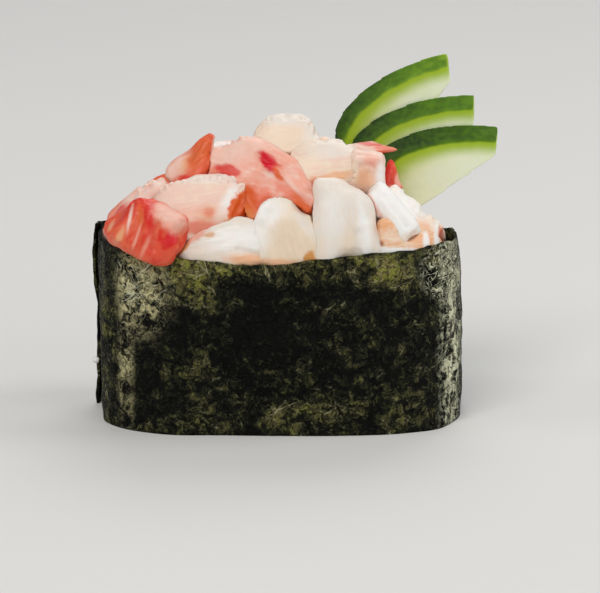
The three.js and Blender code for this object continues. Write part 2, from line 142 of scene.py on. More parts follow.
class Value:
    """A number that varies over a surface: a node's output, whose arithmetic adds Math nodes."""

    def __init__(self, surface: "Surface", socket: Socket) -> None:
        """Wraps a socket of a surface's nodes."""
        self.surface = surface
        self.socket = socket

    def _math(self, operation: str, *operands: "float | Value") -> "Value":
        """The outcome of a Math node.

        Args:
            operation: what the node does.
            operands: its inputs in order.

        Returns:
            The node's output.
        """
        inputs = dict(enumerate(operands))
        node = self.surface.add("ShaderNodeMath", {"operation": operation}, inputs)
        return Value(self.surface, node.outputs[0])

    def __add__(self, other: "float | Value") -> "Value":
        """self + other."""
        return self._math("ADD", self, other)

    def __radd__(self, other: float) -> "Value":
        """other + self."""
        return self._math("ADD", other, self)

    def __sub__(self, other: "float | Value") -> "Value":
        """self - other."""
        return self._math("SUBTRACT", self, other)

    def __rsub__(self, other: float) -> "Value":
        """other - self."""
        return self._math("SUBTRACT", other, self)

    def __mul__(self, other: "float | Value") -> "Value":
        """self * other."""
        return self._math("MULTIPLY", self, other)

    def __rmul__(self, other: float) -> "Value":
        """other * self."""
        return self._math("MULTIPLY", other, self)

    def __abs__(self) -> "Value":
        """The value without its sign."""
        return self._math("ABSOLUTE", self)

    def root(self) -> "Value":
        """The square root."""
        return self._math("SQRT", self)

    def eased(self, low: float, high: float) -> "Value":
        """How far the value is from low, 0, to high, 1, with soft ends.

        Args:
            low: the value that gives 0.
            high: the value that gives 1, which may be the smaller of the two.

        Returns:
            A value from 0 to 1.
        """
        ends = {"Value": self, "From Min": low, "From Max": high}
        node = self.surface.add("ShaderNodeMapRange", {"interpolation_type": "SMOOTHSTEP"}, ends)
        return Value(self.surface, node.outputs[0])

    def spread(self) -> "Value":
        """A noise, drawn out to reach from 0 to 1."""
        return self.eased(0.3, 0.7)


class Surface:
    """A material in the making."""

    def __init__(self, name: str) -> None:
        """Starts a material that has only the place on the piece, in millimetres.

        Args:
            name: the material's name.
        """
        self.material = bpy.data.materials.new(name)
        self.material.use_nodes = True
        self.tree = self.material.node_tree
        self.tree.nodes.clear()
        self.here = self.scaled(self.add("ShaderNodeTexCoord").outputs["Object"], 1 / MM)

    def add(
        self, kind: str, settings: dict | None = None, sockets: dict | None = None
    ) -> bpy.types.Node:
        """Adds a node.

        Args:
            kind: the node's type.
            settings: its properties.
            sockets: a value, a link or a Value for each input, by its name or number.

        Returns:
            The node.
        """
        node = self.tree.nodes.new(kind)
        for name, setting in (settings or {}).items():
            setattr(node, name, setting)
        for key, given in (sockets or {}).items():
            value = given.socket if isinstance(given, Value) else given
            if isinstance(value, Socket):
                self.tree.links.new(value, self._input(node, key))
            else:
                self._input(node, key).default_value = value
        return node

    @staticmethod
    def _input(node: bpy.types.Node, key: str | int) -> Socket:
        """One of a node's inputs.

        Args:
            node: the node.
            key: the input's number, identifier or name.

        Returns:
            The input.
        """
        if isinstance(key, int):
            return node.inputs[key]
        return next(s for s in node.inputs if key in (s.identifier, s.name) and s.enabled)

    def vector(self, operation: str, sockets: dict) -> Socket:
        """The outcome of a Vector Math node with these inputs."""
        return self.add("ShaderNodeVectorMath", {"operation": operation}, sockets).outputs[0]

    def scaled(self, vector: Socket, factor: float) -> Socket:
        """A vector times a number."""
        return self.vector("SCALE", {0: vector, "Scale": factor})

    def within(
        self,
        size: Point,
        middle: Point = (0, 0, 0),
        turn: Euler | None = None,
        place: Socket | None = None,
    ) -> Socket:
        """A place as seen from a box that has been moved, turned and sized, in its half sides.

        Args:
            size: half the box's sides.
            middle: its middle.
            turn: how it is turned.
            place: the place, if it isn't the one on the piece.

        Returns:
            The vector of the place.
        """
        place = place or self.here
        sockets = {"Vector": place, "Location": middle, "Rotation": turn or Euler(), "Scale": size}
        return self.add("ShaderNodeMapping", {"vector_type": "TEXTURE"}, sockets).outputs[0]

    def near(self, middle: Point, size: Point, turn: float = 0) -> Value:
        """How far out of an ellipsoid a place is.

        Args:
            middle: the ellipsoid's middle.
            size: half its sides.
            turn: how it is turned about +Y, in degrees.

        Returns:
            0 at its middle, 1 on its skin, and more outside.
        """
        place = self.within(size, middle, Euler((0, math.radians(turn), 0)))
        node = self.add("ShaderNodeVectorMath", {"operation": "LENGTH"}, {0: place})
        return Value(self, node.outputs["Value"])

    def stirred(self, where: Socket, scale: float, reach: float) -> Socket:
        """A place pushed about by noise.

        Args:
            where: the place.
            scale: how many of the noise's features there are to a unit of length.
            reach: how far it is pushed at the most.

        Returns:
            The vector of the new place.
        """
        sockets = {"Vector": where, "Scale": scale, "Detail": 1}
        noise = self.add("ShaderNodeTexNoise", {}, sockets).outputs["Color"]
        push = self.vector("SUBTRACT", {0: noise, 1: (NOISE_MEAN,) * 3})
        return self.vector("MULTIPLY_ADD", {0: push, 1: (2 * reach,) * 3, 2: where})

    def cells(self, where: Socket, scale: float) -> Value:
        """A value for each of some irregular cells, scale of them to a unit of length."""
        cells = self.add("ShaderNodeTexVoronoi", {}, {"Vector": where, "Scale": scale})
        return self.axes(cells.outputs["Color"])[0]

    def axes(self, vector: Socket) -> list[Value]:
        """A vector's three parts."""
        parts = self.add("ShaderNodeSeparateXYZ", {}, {0: vector}).outputs
        return [Value(self, part) for part in parts]

    def noise(
        self, where: Socket, scale: float, detail: float = 2, swirl: float = 0
    ) -> Value:
        """Noise of features about 1 / scale in size.

        Args:
            where: the place it is read at.
            scale: how many features to a unit of length.
            detail: how many finer layers it has.
            swirl: how far it is stirred.

        Returns:
            A value about NOISE_MEAN.
        """
        sockets = {"Vector": where, "Scale": scale, "Detail": detail, "Distortion": swirl}
        return Value(self, self.add("ShaderNodeTexNoise", {}, sockets).outputs["Fac"])

    def ripple(
        self, where: Socket, scale: float, detail: float = 2, swirl: float = 0
    ) -> Value:
        """Noise about 0, from the same values as noise takes."""
        return self.noise(where, scale, detail, swirl) - NOISE_MEAN

    def mixed(self, share: "float | Value", first: object, second: object) -> Socket:
        """A colour between two.

        Args:
            share: the second colour's share.
            first: a colour or its socket.
            second: a colour or its socket.

        Returns:
            The mixed colour.
        """
        sockets = {"Factor_Float": share, "A_Color": first, "B_Color": second}
        node = self.add("ShaderNodeMix", {"data_type": "RGBA"}, sockets)
        return next(s for s in node.outputs if s.identifier == "Result_Color")

    def bumped(self, height: Value, depth: float) -> Socket:
        """A normal that a height bends, where a height of 1 stands as high as the depth."""
        sockets = {"Height": height, "Distance": depth * MM, "Strength": 1.0}
        return self.add("ShaderNodeBump", {}, sockets).outputs[0]

    def finished(self, **sockets: object) -> bpy.types.Material:
        """The material, with its shader.

        Args:
            sockets: the shader's inputs, their spaces written as underscores.

        Returns:
            The finished material.
        """
        inputs = {name.replace("_", " "): value for name, value in sockets.items()}
        shader = self.add("ShaderNodeBsdfPrincipled", {}, inputs)
        self.add("ShaderNodeOutputMaterial", {}, {"Surface": shader.outputs[0]})
        return self.material


# ---------------------------------------- meshes


@dataclass(frozen=True)
class Relief:
    """Relief that is pushed into a mesh."""

    depth: float
    length: float  # of its features, along the grain
    width: float  # and across it
    rounds: int = 1  # how many finer layers it has
    shift: bool = False  # whether it moves points every way instead of along their normals


class Clay:
    """A mesh in the making, shaped by modifiers that are applied one after the other."""

    def __init__(self, piece: bpy.types.Object) -> None:
        """Takes up a mesh object."""
        self.piece = piece

    @classmethod
    def of_node(cls, node: str, name: str) -> "Clay":
        """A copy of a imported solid, its corners merged.

        Args:
            node: the solid's node.
            name: the copy's name.

        Returns:
            The copy, ready to be shaped.
        """
        piece = bpy.data.objects.new(name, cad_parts[node].data.copy())
        piece.data.materials.clear()
        bpy.context.scene.collection.objects.link(piece)
        clay = cls(piece)
        clay.edit(lambda: bpy.ops.mesh.remove_doubles(threshold=MERGED * MM))
        return clay

    @staticmethod
    def deselect() -> None:
        """Leaves nothing selected."""
        bpy.ops.object.select_all(action="DESELECT")

    def take(self) -> None:
        """Selects the piece alone and makes it active."""
        self.deselect()
        self.piece.select_set(True)
        bpy.context.view_layer.objects.active = self.piece

    def edit(self, action: Callable[[], object]) -> None:
        """Does something in edit mode, the whole mesh selected.

        Args:
            action: what is done.
        """
        self.take()
        bpy.ops.object.mode_set(mode="EDIT")
        bpy.ops.mesh.select_all(action="SELECT")
        action()
        bpy.ops.object.mode_set(mode="OBJECT")

    def apply(self, kind: str, **settings: object) -> None:
        """Adds a modifier and applies it.

        Args:
            kind: the modifier's type.
            settings: its properties.
        """
        self.take()
        modifier = self.piece.modifiers.new(kind.lower(), kind)
        for name, setting in settings.items():
            setattr(modifier, name, setting)
        bpy.ops.object.modifier_apply(modifier=modifier.name)

    def remesh(self, voxel: float) -> None:
        """Gives the closed mesh an even skin of small squares."""
        self.apply("REMESH", mode="VOXEL", voxel_size=voxel * MM, adaptivity=0)

    def crease(self, angle: float) -> None:
        """Creases the sharp edges, so that they stay sharp when the mesh is refined.

        Args:
            angle: how much an edge turns at the least, in degrees.
        """

        def crease_sharp() -> None:
            """Creases them, in edit mode."""
            bpy.ops.mesh.select_all(action="DESELECT")
            bpy.ops.mesh.select_mode(type="EDGE")
            bpy.ops.mesh.edges_select_sharp(sharpness=math.radians(angle))
            bpy.ops.transform.edge_crease(value=1)

        self.edit(crease_sharp)

    def smooth(self, repeats: int, factor: float = 0.7) -> None:
        """Evens out the mesh."""
        self.apply("SMOOTH", factor=factor, iterations=repeats)

    def refine(self, levels: int = 1) -> None:
        """Splits each face into smaller ones on a smooth surface."""
        self.apply("SUBSURF", levels=levels, render_levels=levels)

    def swell(self, depth: float, group: str = "") -> None:
        """Moves the skin out, or in with a depth below 0."""
        self.apply("DISPLACE", strength=depth * MM, mid_level=0, vertex_group=group)

    def settle(self, onto: bpy.types.Object, share: float, depth: float, grip: float = 1.6) -> None:
        """Draws the skin towards another skin, most where it is near.

        Args:
            onto: the mesh with that skin.
            share: how far it goes, from 0 to 1.
            depth: how far under that skin it isn't drawn any more.
            grip: how soon, coming nearer, it is drawn all the way.
        """
        group = self.piece.vertex_groups.new(name="settled")
        for vertex in self.piece.data.vertices:
            _, skin, _, _ = onto.closest_point_on_mesh(vertex.co)
            nearness = 1 - (vertex.co - skin).length / (depth * MM)
            if nearness > 0:
                group.add([vertex.index], share * min(1.0, grip * nearness), "REPLACE")
        self.apply(
            "SHRINKWRAP", target=onto, wrap_method="NEAREST_SURFACEPOINT", vertex_group=group.name
        )

    def mark(self, lines: Iterable[Line], reach: float, name: str) -> None:
        """Marks the points near some lines.

        Args:
            lines: the lines' two ends.
            reach: how far from a line the mark fades out.
            name: the mark's name.
        """
        group = self.piece.vertex_groups.new(name=name)
        spans = [(Vector(start) * MM, (Vector(end) - Vector(start)) * MM) for start, end in lines]
        for vertex in self.piece.data.vertices:
            apart = math.inf
            for start, span in spans:
                share = (vertex.co - start).dot(span) / (span.length_squared or 1)
                share = max(0.0, min(1.0, share))
                apart = min(apart, (vertex.co - start - span * share).length)
            nearness = 1 - apart / (reach * MM)
            if nearness > 0:
                group.add([vertex.index], nearness * nearness * (3 - 2 * nearness), "REPLACE")

    def mark_above(self, height: float, name: str) -> None:
        """Marks the points more and more, from nothing at the floor.

        Args:
            height: where the mark is full.
            name: the mark's name.
        """
        group = self.piece.vertex_groups.new(name=name)
        for vertex in self.piece.data.vertices:
            group.add([vertex.index], min(max(vertex.co.z / MM / height, 0), 1), "REPLACE")

    def pull(self, place: Point, move: Point, reach: float) -> None:
        """Moves the points round a place.

        Args:
            place: the middle of what moves.
            move: how far the middle moves.
            reach: how far off points stay where they are.
        """
        mark = "pulled"
        self.mark([(place, place)], reach, mark)
        for axis, distance in zip("XYZ", move):
            if distance:
                settings = {"direction": axis, "strength": distance * MM}
                self.apply("DISPLACE", mid_level=0, vertex_group=mark, **settings)
        self.piece.vertex_groups.remove(self.piece.vertex_groups[mark])

    def relieve(self, relief: Relief, grain: Vector, seed: int, group: str = "") -> None:
        """Pushes relief into the mesh.

        Args:
            relief: the relief.
            grain: the direction that its features run in.
            seed: gives each piece relief of its own.
            group: the mark that limits it, if any.
        """
        texture = bpy.data.textures.new("relief", "CLOUDS")
        texture.noise_scale = 1.0
        texture.noise_depth = relief.rounds
        texture.noise_basis = "IMPROVED_PERLIN"
        texture.noise_type = "SOFT_NOISE"
        texture.cloud_type = "COLOR" if relief.shift else "GRAYSCALE"
        guide = bpy.data.objects.new("grain", None)
        bpy.context.scene.collection.objects.link(guide)
        sizes = Matrix.Diagonal((relief.length * MM, relief.width * MM, relief.width * MM, 1))
        turn = grain.to_track_quat("X", "Z").to_matrix().to_4x4()
        start = Vector([seed * step for step in SEED_STEP]) * MM
        guide.matrix_world = Matrix.Translation(start) @ turn @ sizes
        bpy.context.view_layer.update()
        self.apply(
            "DISPLACE",
            texture=texture,
            texture_coords="OBJECT",
            texture_coords_object=guide,
            direction="RGB_TO_XYZ" if relief.shift else "NORMAL",
            strength=relief.depth * MM,
            mid_level=0.5,
            vertex_group=group,
        )
        bpy.data.objects.remove(guide)
        bpy.data.textures.remove(texture)

    def join(self, others: list[bpy.types.Object]) -> None:
        """Makes other mesh objects part of this one.

        Args:
            others: the mesh objects.
        """
        self.take()
        for other in others:
            other.select_set(True)
        bpy.ops.object.join()


class SubAssembly:
    """A part of the dish that is built and dressed on its own."""

    def hand_over(
        self, piece: bpy.types.Object, nodes: Iterable[str], slot: str, material: bpy.types.Material
    ) -> None:
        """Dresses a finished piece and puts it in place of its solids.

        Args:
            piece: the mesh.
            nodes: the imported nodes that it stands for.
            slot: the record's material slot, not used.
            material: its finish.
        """
        piece.data.materials.clear()
        piece.data.materials.append(material)
        piece.data.shade_smooth()
        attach(piece, "root")
        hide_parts(*nodes)
        LOG.info("%s: %d faces", piece.name, len(piece.data.polygons))


class Scatter:
    """Copies of one small shape, strewn and made one mesh."""

    def __init__(self, pattern: bpy.types.Object, seed: int) -> None:
        """Takes up the shape.

        Args:
            pattern: the shape that is copied.
            seed: starts the random places.
        """
        self.pattern = pattern
        self.random = random.Random(seed)
        self.copies: list[bpy.types.Object] = []

    def put(self, place: Vector, turn: Quaternion, size: Point) -> None:
        """Adds a copy.

        Args:
            place: where its middle goes.
            turn: how it is turned.
            size: how much larger than the pattern it is along each of its own axes.
        """
        copy = bpy.data.objects.new(self.pattern.name + "_copy", self.pattern.data.copy())
        bpy.context.scene.collection.objects.link(copy)
        sizes = Matrix.Diagonal((*size, 1))
        copy.data.transform(Matrix.Translation(place * MM) @ turn.to_matrix().to_4x4() @ sizes)
        self.copies.append(copy)

    def joined(self, name: str) -> Clay:
        """Makes all the copies one mesh, and removes the pattern.

        Args:
            name: the mesh's name.

        Returns:
            The mesh, ready to be shaped.
        """
        first, *rest = self.copies
        first.name = name
        clay = Clay(first)
        clay.join(rest)
        bpy.data.objects.remove(self.pattern)
        return clay


# ---------------------------------------- crab meat


class Hue(Enum):
    """The colours of crab meat; PEACH, OCHRE and IVORY are also painted as shade in its hollows,
    gaps and undersides.
    """

    CHALK = linear(250, 247, 243)
    WHITE = linear(240, 231, 221)
    MILK = linear(240, 228, 214)
    IVORY = linear(238, 218, 192)
    CREAM = linear(249, 225, 202)
    SHELL = linear(245, 208, 192)
    BLUSH = linear(243, 172, 150)
    PEACH = linear(240, 180, 134)
    OCHRE = linear(218, 148, 68)
    ORANGE = linear(228, 98, 34)
    SALMON = linear(233, 104, 68)
    SCARLET = linear(222, 42, 28)
    CRIMSON = linear(220, 20, 42)
    BROWN = linear(160, 72, 24)


class Meat(Enum):
    """The kinds of crab meat, each with the name of the record's material slot for it."""

    WHITE = "crab_white"
    CREAM = "crab_cream"
    PINK = "crab_pink"
    RED = "crab_red"


@dataclass(frozen=True)
class StainAndShade:
    """A patch of colour on crab meat, in the form of an ellipsoid turned about +Y: a real stain, or
    painted shade in a hollow, a gap or under a flake.
    """

    hue: Hue
    middle: Point
    size: tuple[float, float]  # half its width and half its height, seen from the front
    turn: float = 0
    strength: float = 1
    softness: float = 0.45
    depth: float = 3  # how far it goes in from its middle


@dataclass(frozen=True)
class MeatFinish:
    """Moist crab meat with fibres that run one way."""

    name: str
    flesh: Hue
    hollows: Hue
    grain: Vector
    stains_and_shade: tuple[StainAndShade, ...] = ()
    bundle: Point = (4, 0.6, 0.6)  # the size of a bundle of fibres, along the grain and across
    thread: Point = (1.8, 0.24, 0.24)  # and of one fibre
    relief: float = 0.06
    glow: Point = (1.0, 0.7, 0.56)  # how far red, green and blue light go under the skin

    def material(self) -> bpy.types.Material:
        """Makes the material.

        Returns:
            The finished material.
        """
        surface = Surface(self.name)
        turn = self.grain.to_track_quat("X", "Z").to_euler()
        fibres = surface.noise(surface.within(self.bundle, turn=turn), 1, detail=3, swirl=0.4)
        mottle = surface.noise(surface.here, 0.4, detail=3, swirl=0.5)
        warp = surface.ripple(surface.here, 0.8, detail=3) * 0.9 + (fibres - NOISE_MEAN) * 0.4
        base = (fibres * 0.5 + mottle * 0.5).eased(0.46, 0.64) * 0.8
        colour = surface.mixed(base, self.flesh.value, self.hollows.value)
        for colour_patch in self.stains_and_shade:
            wide, high = colour_patch.size
            reach = surface.near(colour_patch.middle, (wide, colour_patch.depth, high), colour_patch.turn) + warp
            patch = reach.eased(1 + colour_patch.softness, 1 - colour_patch.softness) * colour_patch.strength
            colour = surface.mixed(patch, colour, colour_patch.hue.value)
        fine = surface.noise(surface.within(self.thread, turn=turn), 1)
        grit = surface.noise(surface.here, 3.2)
        return surface.finished(
            Base_Color=colour,
            Roughness=grit.spread() * 0.2 + 0.3,
            Normal=surface.bumped(fine * 0.7 + grit * 0.3, self.relief),
            Subsurface_Weight=0.25,
            Subsurface_Radius=self.glow,
            Subsurface_Scale=1.0 * MM,
            Specular_IOR_Level=0.4,
        )


@dataclass(frozen=True)
class Fold:
    """A crease, or with a depth above 0 a ridge, along a line on a flake."""

    depth: float
    reach: float
    line: Line


@dataclass(frozen=True)
class Pull:
    """A place on a flake that is pulled out or pushed in."""

    place: Point
    move: Point
    reach: float


@dataclass(frozen=True)
class Flake:
    """One flake of crab meat."""

    part: str  # its node's name without crab_
    meat: Meat
    flesh: Hue
    hollows: Hue
    spine: Line  # the way its fibres run
    stains_and_shade: tuple[StainAndShade, ...] = ()
    torn: tuple[Point, ...] = ()  # the line along which it is torn to crumbs
    folds: tuple[Fold, ...] = ()
    pulls: tuple[Pull, ...] = ()
    lumps: float = 0.4
    swell: float = 0  # how much fuller it is than the others
    ribs: float = 0  # how deep the grooves between its bundles of fibres are
    drape: float = 0.85  # how far it lies in with its neighbours
    fine: bool = False  # whether it keeps its sharp point

    def grain(self) -> Vector:
        """The direction of its fibres."""
        start, end = self.spine
        return (Vector(end) - Vector(start)).normalized()

    def tears(self) -> list[Line]:
        """The stretches of its torn line."""
        return list(zip(self.torn, self.torn[1:]))

    def finish(self) -> MeatFinish:
        """Its finish."""
        return MeatFinish("meat_" + self.part, self.flesh, self.hollows, self.grain(), self.stains_and_shade)


FRONT_FLAKES = (
    Flake(
        "front_petal", Meat.WHITE, Hue.WHITE, Hue.MILK, ((10.8, -13.4, 24.6), (9, -10, 39)),
        stains_and_shade=(
            # painted shade: ivory down the crease
            StainAndShade(Hue.IVORY, (10.9, -15, 29), (1.1, 3.6), 3, 0.7, 0.7),
            StainAndShade(Hue.CHALK, (13.2, -13.8, 31.6), (0.8, 4.2), -8, 0.9, 0.6),
            StainAndShade(Hue.IVORY, (6.6, -14.4, 28.4), (0.7, 3), 0, 0.5, 0.7),
            StainAndShade(Hue.CHALK, (8.6, -14, 34), (1.4, 3), 0, 0.6, 0.8),
        ),
        pulls=(
            Pull((6.7, -10.8, 37.4), (-0.9, 0, 1.3), 2.6),
            Pull((11, -11, 38.6), (-0.2, 0, -1.3), 2.8),
            Pull((10.8, -15.4, 27), (0, 1.1, 0), 3),
        ),
        folds=(
            Fold(-0.6, 1.5, ((12.3, -14, 31), (12.4, -15.6, 26))),
            Fold(0.35, 1.3, ((13.8, -13.8, 32.4), (14, -14.6, 29.6))),
        ),
        lumps=0.2, drape=0.7,
    ),
    Flake(
        "white_lobe", Meat.WHITE, Hue.IVORY, Hue.CREAM, ((2.4, -13.2, 25), (-0.8, -10, 35)),
        stains_and_shade=(
            StainAndShade(Hue.CHALK, (-2.8, -13.4, 31.4), (2, 4), 10, 0.8, 0.9),
            StainAndShade(Hue.CHALK, (-1.2, -12.4, 34.6), (2.8, 1.9), -20, 0.9, 0.8),
            StainAndShade(Hue.WHITE, (4.4, -13.4, 32.4), (0.8, 2.8), -38, 0.8, 0.6),
            # painted shade: peach along its foot, and ochre in the gap at its lower right
            StainAndShade(Hue.PEACH, (0.4, -15, 26.6), (5, 0.9), 3, 0.75),
            StainAndShade(Hue.OCHRE, (5.1, -14.9, 27.2), (1, 1.5), 0, 0.95, 0.25),
        ),
        pulls=(
            Pull((-2.8, -12.6, 33.6), (0, -0.7, -0.3), 2.2),
            Pull((-1.4, -12.4, 35.1), (0, -0.3, 0.1), 1.6),
            Pull((4.4, -11.8, 35.6), (-0.3, 0.2, -1.2), 2.8),
        ),
        lumps=0.15, drape=1,
    ),
    Flake(
        "white_left", Meat.WHITE, Hue.MILK, Hue.WHITE, ((-15, -12.2, 26.6), (-2, -12.6, 28.9)),
        stains_and_shade=(
            StainAndShade(Hue.CHALK, (-5.4, -13.6, 30.4), (5.4, 1.7), 0, 0.85, 0.7),
            # painted shade: peach along its foot, and a thin ochre shadow along its border with the
            # red corner
            StainAndShade(Hue.PEACH, (-3, -15.2, 27), (4.4, 1.1), 8, 0.85),
            StainAndShade(Hue.OCHRE, (-14.2, -13.4, 28.7), (0.42, 2.2), 43, 0.85, 0.3),
            StainAndShade(Hue.BLUSH, (-12.6, -13.2, 31.2), (2.8, 1.3), -28, 0.9, 0.3),
            StainAndShade(Hue.SALMON, (-12.2, -13.2, 31.8), (2.4, 0.4), -24, 0.7, 0.6),
            StainAndShade(Hue.OCHRE, (-10, -13.3, 31), (0.9, 0.4), -10, 0.7, depth=2),
        ),
        folds=(Fold(-0.45, 0.8, ((-5.8, -15, 28.9), (-1.4, -15.2, 27.8))),),
        lumps=0.3, drape=1,
    ),
    Flake(
        "red_corner", Meat.RED, Hue.SALMON, Hue.SCARLET, ((-23.6, -14.4, 28.6), (-18.6, -13, 35.4)),
        stains_and_shade=(
            StainAndShade(Hue.SCARLET, (-22.8, -12, 34.4), (4.8, 1.3), -33, 0.7, depth=4),
            StainAndShade(Hue.SCARLET, (-18.2, -16.6, 29.6), (3.4, 2.3), 24, 0.4),
            StainAndShade(Hue.SCARLET, (-19, -14.2, 34.4), (0.9, 2.5), 0, 1),
            StainAndShade(Hue.ORANGE, (-20.4, -14, 34), (0.5, 1.7), -8, 0.7),
            StainAndShade(Hue.SHELL, (-22, -13.6, 33.4), (0.26, 2), 11, 0.95, 0.6),
            StainAndShade(Hue.PEACH, (-23.5, -14.2, 30.9), (0.45, 1.3), 28, 0.85, 0.6),
            StainAndShade(Hue.SCARLET, (-16.1, -16.8, 31.2), (1.6, 1.7), 0, 1, 0.2),
            StainAndShade(Hue.CRIMSON, (-15.7, -16.8, 31), (0.8, 1.1), 20, 0.7),
            StainAndShade(Hue.SALMON, (-16.7, -16.8, 31.7), (0.4, 0.7), 20, 0.5),
            StainAndShade(Hue.BLUSH, (-15.6, -15.6, 33.4), (3, 1.5), 32, 0.9),
            StainAndShade(Hue.SHELL, (-16.2, -14.6, 34.5), (2.6, 1.4), 32, 0.65, 0.5),
            StainAndShade(Hue.PEACH, (-24.6, -12.6, 32.6), (0.3, 1.6), 32, 0.8, 0.6),
            StainAndShade(Hue.BLUSH, (-20.9, -15.6, 31), (0.22, 1.9), 20, 0.8, 0.8),
            StainAndShade(Hue.BLUSH, (-19.6, -15.9, 29.6), (0.3, 1.6), 24, 0.6, 0.8),
        ),
        pulls=(
            Pull((-25.4, -10, 35.4), (1.4, 0, -2.2), 5.5),
            Pull((-15.6, -15.6, 26.6), (0.6, 0, -0.4), 3),
            Pull((-13.8, -15.4, 31.4), (-1.3, 0.7, 0), 2.8),
            Pull((-18, -17.2, 31.6), (0, 0.9, 0), 4.6),
        ),
        torn=((-27, -9.6, 31.4), (-25, -11.2, 34.4), (-22, -12, 35.8), (-20, -12.6, 36)),
        folds=(
            Fold(-0.35, 0.8, ((-20.6, -14.3, 34.6), (-21.6, -15.6, 31))),
            Fold(0.3, 1.1, ((-22.6, -14, 34), (-24, -14, 30.5))),
            Fold(0.35, 1, ((-19, -14.4, 34.6), (-19.6, -16.4, 30.6))),
            Fold(-0.4, 0.9, ((-17.6, -15.4, 33), (-18.4, -16.6, 29.4))),
        ),
        lumps=0.8, drape=1,
    ),
    Flake(
        "pink_slab", Meat.PINK, Hue.SHELL, Hue.CREAM, ((-18.4, -10.7, 34.2), (-5.3, -8.8, 36.3)),
        stains_and_shade=(
            StainAndShade(Hue.SALMON, (-12.6, -13.6, 32.2), (4.8, 1.1), -3, 0.75),
            StainAndShade(Hue.PEACH, (-10, -12.9, 34), (1.9, 1.3), 0, 0.5),
            StainAndShade(Hue.ORANGE, (-10.1, -12.8, 34.2), (0.8, 0.7), -20, 0.7, 0.6),
            StainAndShade(Hue.WHITE, (-11.6, -9.6, 39), (7, 0.9), 0, 0.7, 0.7, depth=2.4),
            StainAndShade(Hue.CHALK, (-7.4, -11.4, 35.8), (0.8, 3), 33, 0.85, 0.8),
            StainAndShade(Hue.ORANGE, (-4.8, -12, 34.6), (2.2, 3.2), 33, 1, 0.16),
            # painted shade: ochre at the bottom of the hollow between the slab and the crown
            StainAndShade(Hue.OCHRE, (-6.4, -12.6, 32.6), (1.5, 0.7), 0, 0.8, 0.3),
            StainAndShade(Hue.BLUSH, (-13.4, -13, 34), (4.4, 1.2), -6, 0.5, 0.8),
        ),
        torn=((-17.4, -10.4, 37.4), (-10.8, -9.5, 39.3), (-6.2, -9.2, 38.4), (-5.4, -10, 37.4)),
        folds=(Fold(-0.5, 0.9, ((-6.2, -13, 33), (-5, -11.4, 36.2))),),
        pulls=(
            Pull((-4.8, -12.2, 33.6), (-1, 0.2, 0.3), 2.6),
            Pull((-5.2, -9.8, 37.6), (0.6, 0, 0.5), 1.6),
            Pull((-9.6, -9.6, 39.4), (0, 0, -0.7), 3.2),
        ),
        lumps=0.25, drape=0.6,
    ),
    Flake(
        "white_stick", Meat.WHITE, Hue.CHALK, Hue.CHALK, ((14.7, -8.4, 37), (20.8, -12, 30)),
        stains_and_shade=(
            StainAndShade(Hue.BLUSH, (14.6, -10, 35.2), (0.5, 2.6), -32, 0.75, 0.6),
            StainAndShade(Hue.CREAM, (19.6, -12, 30.4), (1.6, 0.7), -30, 0.6, 0.6),
        ),
        folds=(Fold(-0.3, 0.8, ((16.4, -11, 36.4), (19.6, -12.8, 32))),),
        pulls=(
            Pull((21.2, -12.2, 29.6), (-0.8, 0.3, 0.9), 2.6),
            Pull((14.4, -8.8, 37.4), (0.6, 0, 0), 2.4),
        ),
        lumps=0.3, swell=0.45, drape=0.8, fine=True,
    ),
    Flake(
        "pink_crown", Meat.PINK, Hue.BLUSH, Hue.SHELL, ((-9.6, -4.8, 39), (5.6, -10.8, 34)),
        stains_and_shade=(
            StainAndShade(Hue.SHELL, (-6.8, -4.6, 42.8), (4.6, 2.4), -12, 0.85, 0.8, depth=5),
            StainAndShade(Hue.SALMON, (-2.6, -11.6, 35), (3.6, 2.6), 20, 0.9, depth=4),
            StainAndShade(Hue.SALMON, (2.8, -10.8, 35.8), (3.6, 1.4), 42, 0.7),
            # painted shade: ochre at the bottom of the hollow between the crown and the slab
            StainAndShade(Hue.OCHRE, (-5.6, -11.2, 34), (2.4, 1.6), 0, 0.8),
            StainAndShade(Hue.ORANGE, (-4.8, -10.9, 36), (2, 2.4), 0, 0.9),
            StainAndShade(Hue.SALMON, (-8.9, -7.4, 39.5), (1.6, 0.6), 0, 0.6),
            StainAndShade(Hue.SCARLET, (-7.3, -7.5, 39.7), (1.9, 0.85), 8, 0.9, 0.3),
            StainAndShade(Hue.CRIMSON, (-0.8, -7.6, 40.6), (2.3, 1.05), 45, 1, 0.25),
            StainAndShade(Hue.ORANGE, (0.5, -8.8, 39.6), (1.3, 0.75), 45, 0.9, 0.35),
            StainAndShade(Hue.SHELL, (2.5, -10, 38), (3.2, 0.4), 48, 0.6),
            StainAndShade(Hue.ORANGE, (4.2, -11.6, 34.8), (2.4, 0.9), 50, 0.9),
        ),
        torn=((-9.2, -3.8, 43), (-5, -3.6, 44.3), (-3, -3.2, 44.8)),
        folds=(
            Fold(-0.5, 1, ((-2.6, -7.4, 42), (1, -8.8, 39))),
            Fold(0.5, 1.4, ((-1, -9, 40.4), (5.2, -11.4, 36))),
            Fold(-0.5, 1.4, ((-5, -10.6, 37), (-3, -12, 34.4))),
        ),
        pulls=(
            Pull((-10, -4.4, 41.6), (-1, 0, 0.6), 3.2),
            Pull((-1.4, -12.4, 35), (0, 0.8, -0.2), 1.8),
        ),
        lumps=0.6,
    ),
    Flake(
        "orange_peak", Meat.RED, Hue.SALMON, Hue.ORANGE, ((-15.2, -5.6, 36.6), (-9.9, -3.2, 44.5)),
        stains_and_shade=(
            StainAndShade(Hue.SHELL, (-15.2, -5.6, 39.8), (3.4, 1.3), -42, 0.9, 0.6),
            StainAndShade(Hue.PEACH, (-13.6, -6, 40.6), (0.7, 1.7), 38, 0.7),
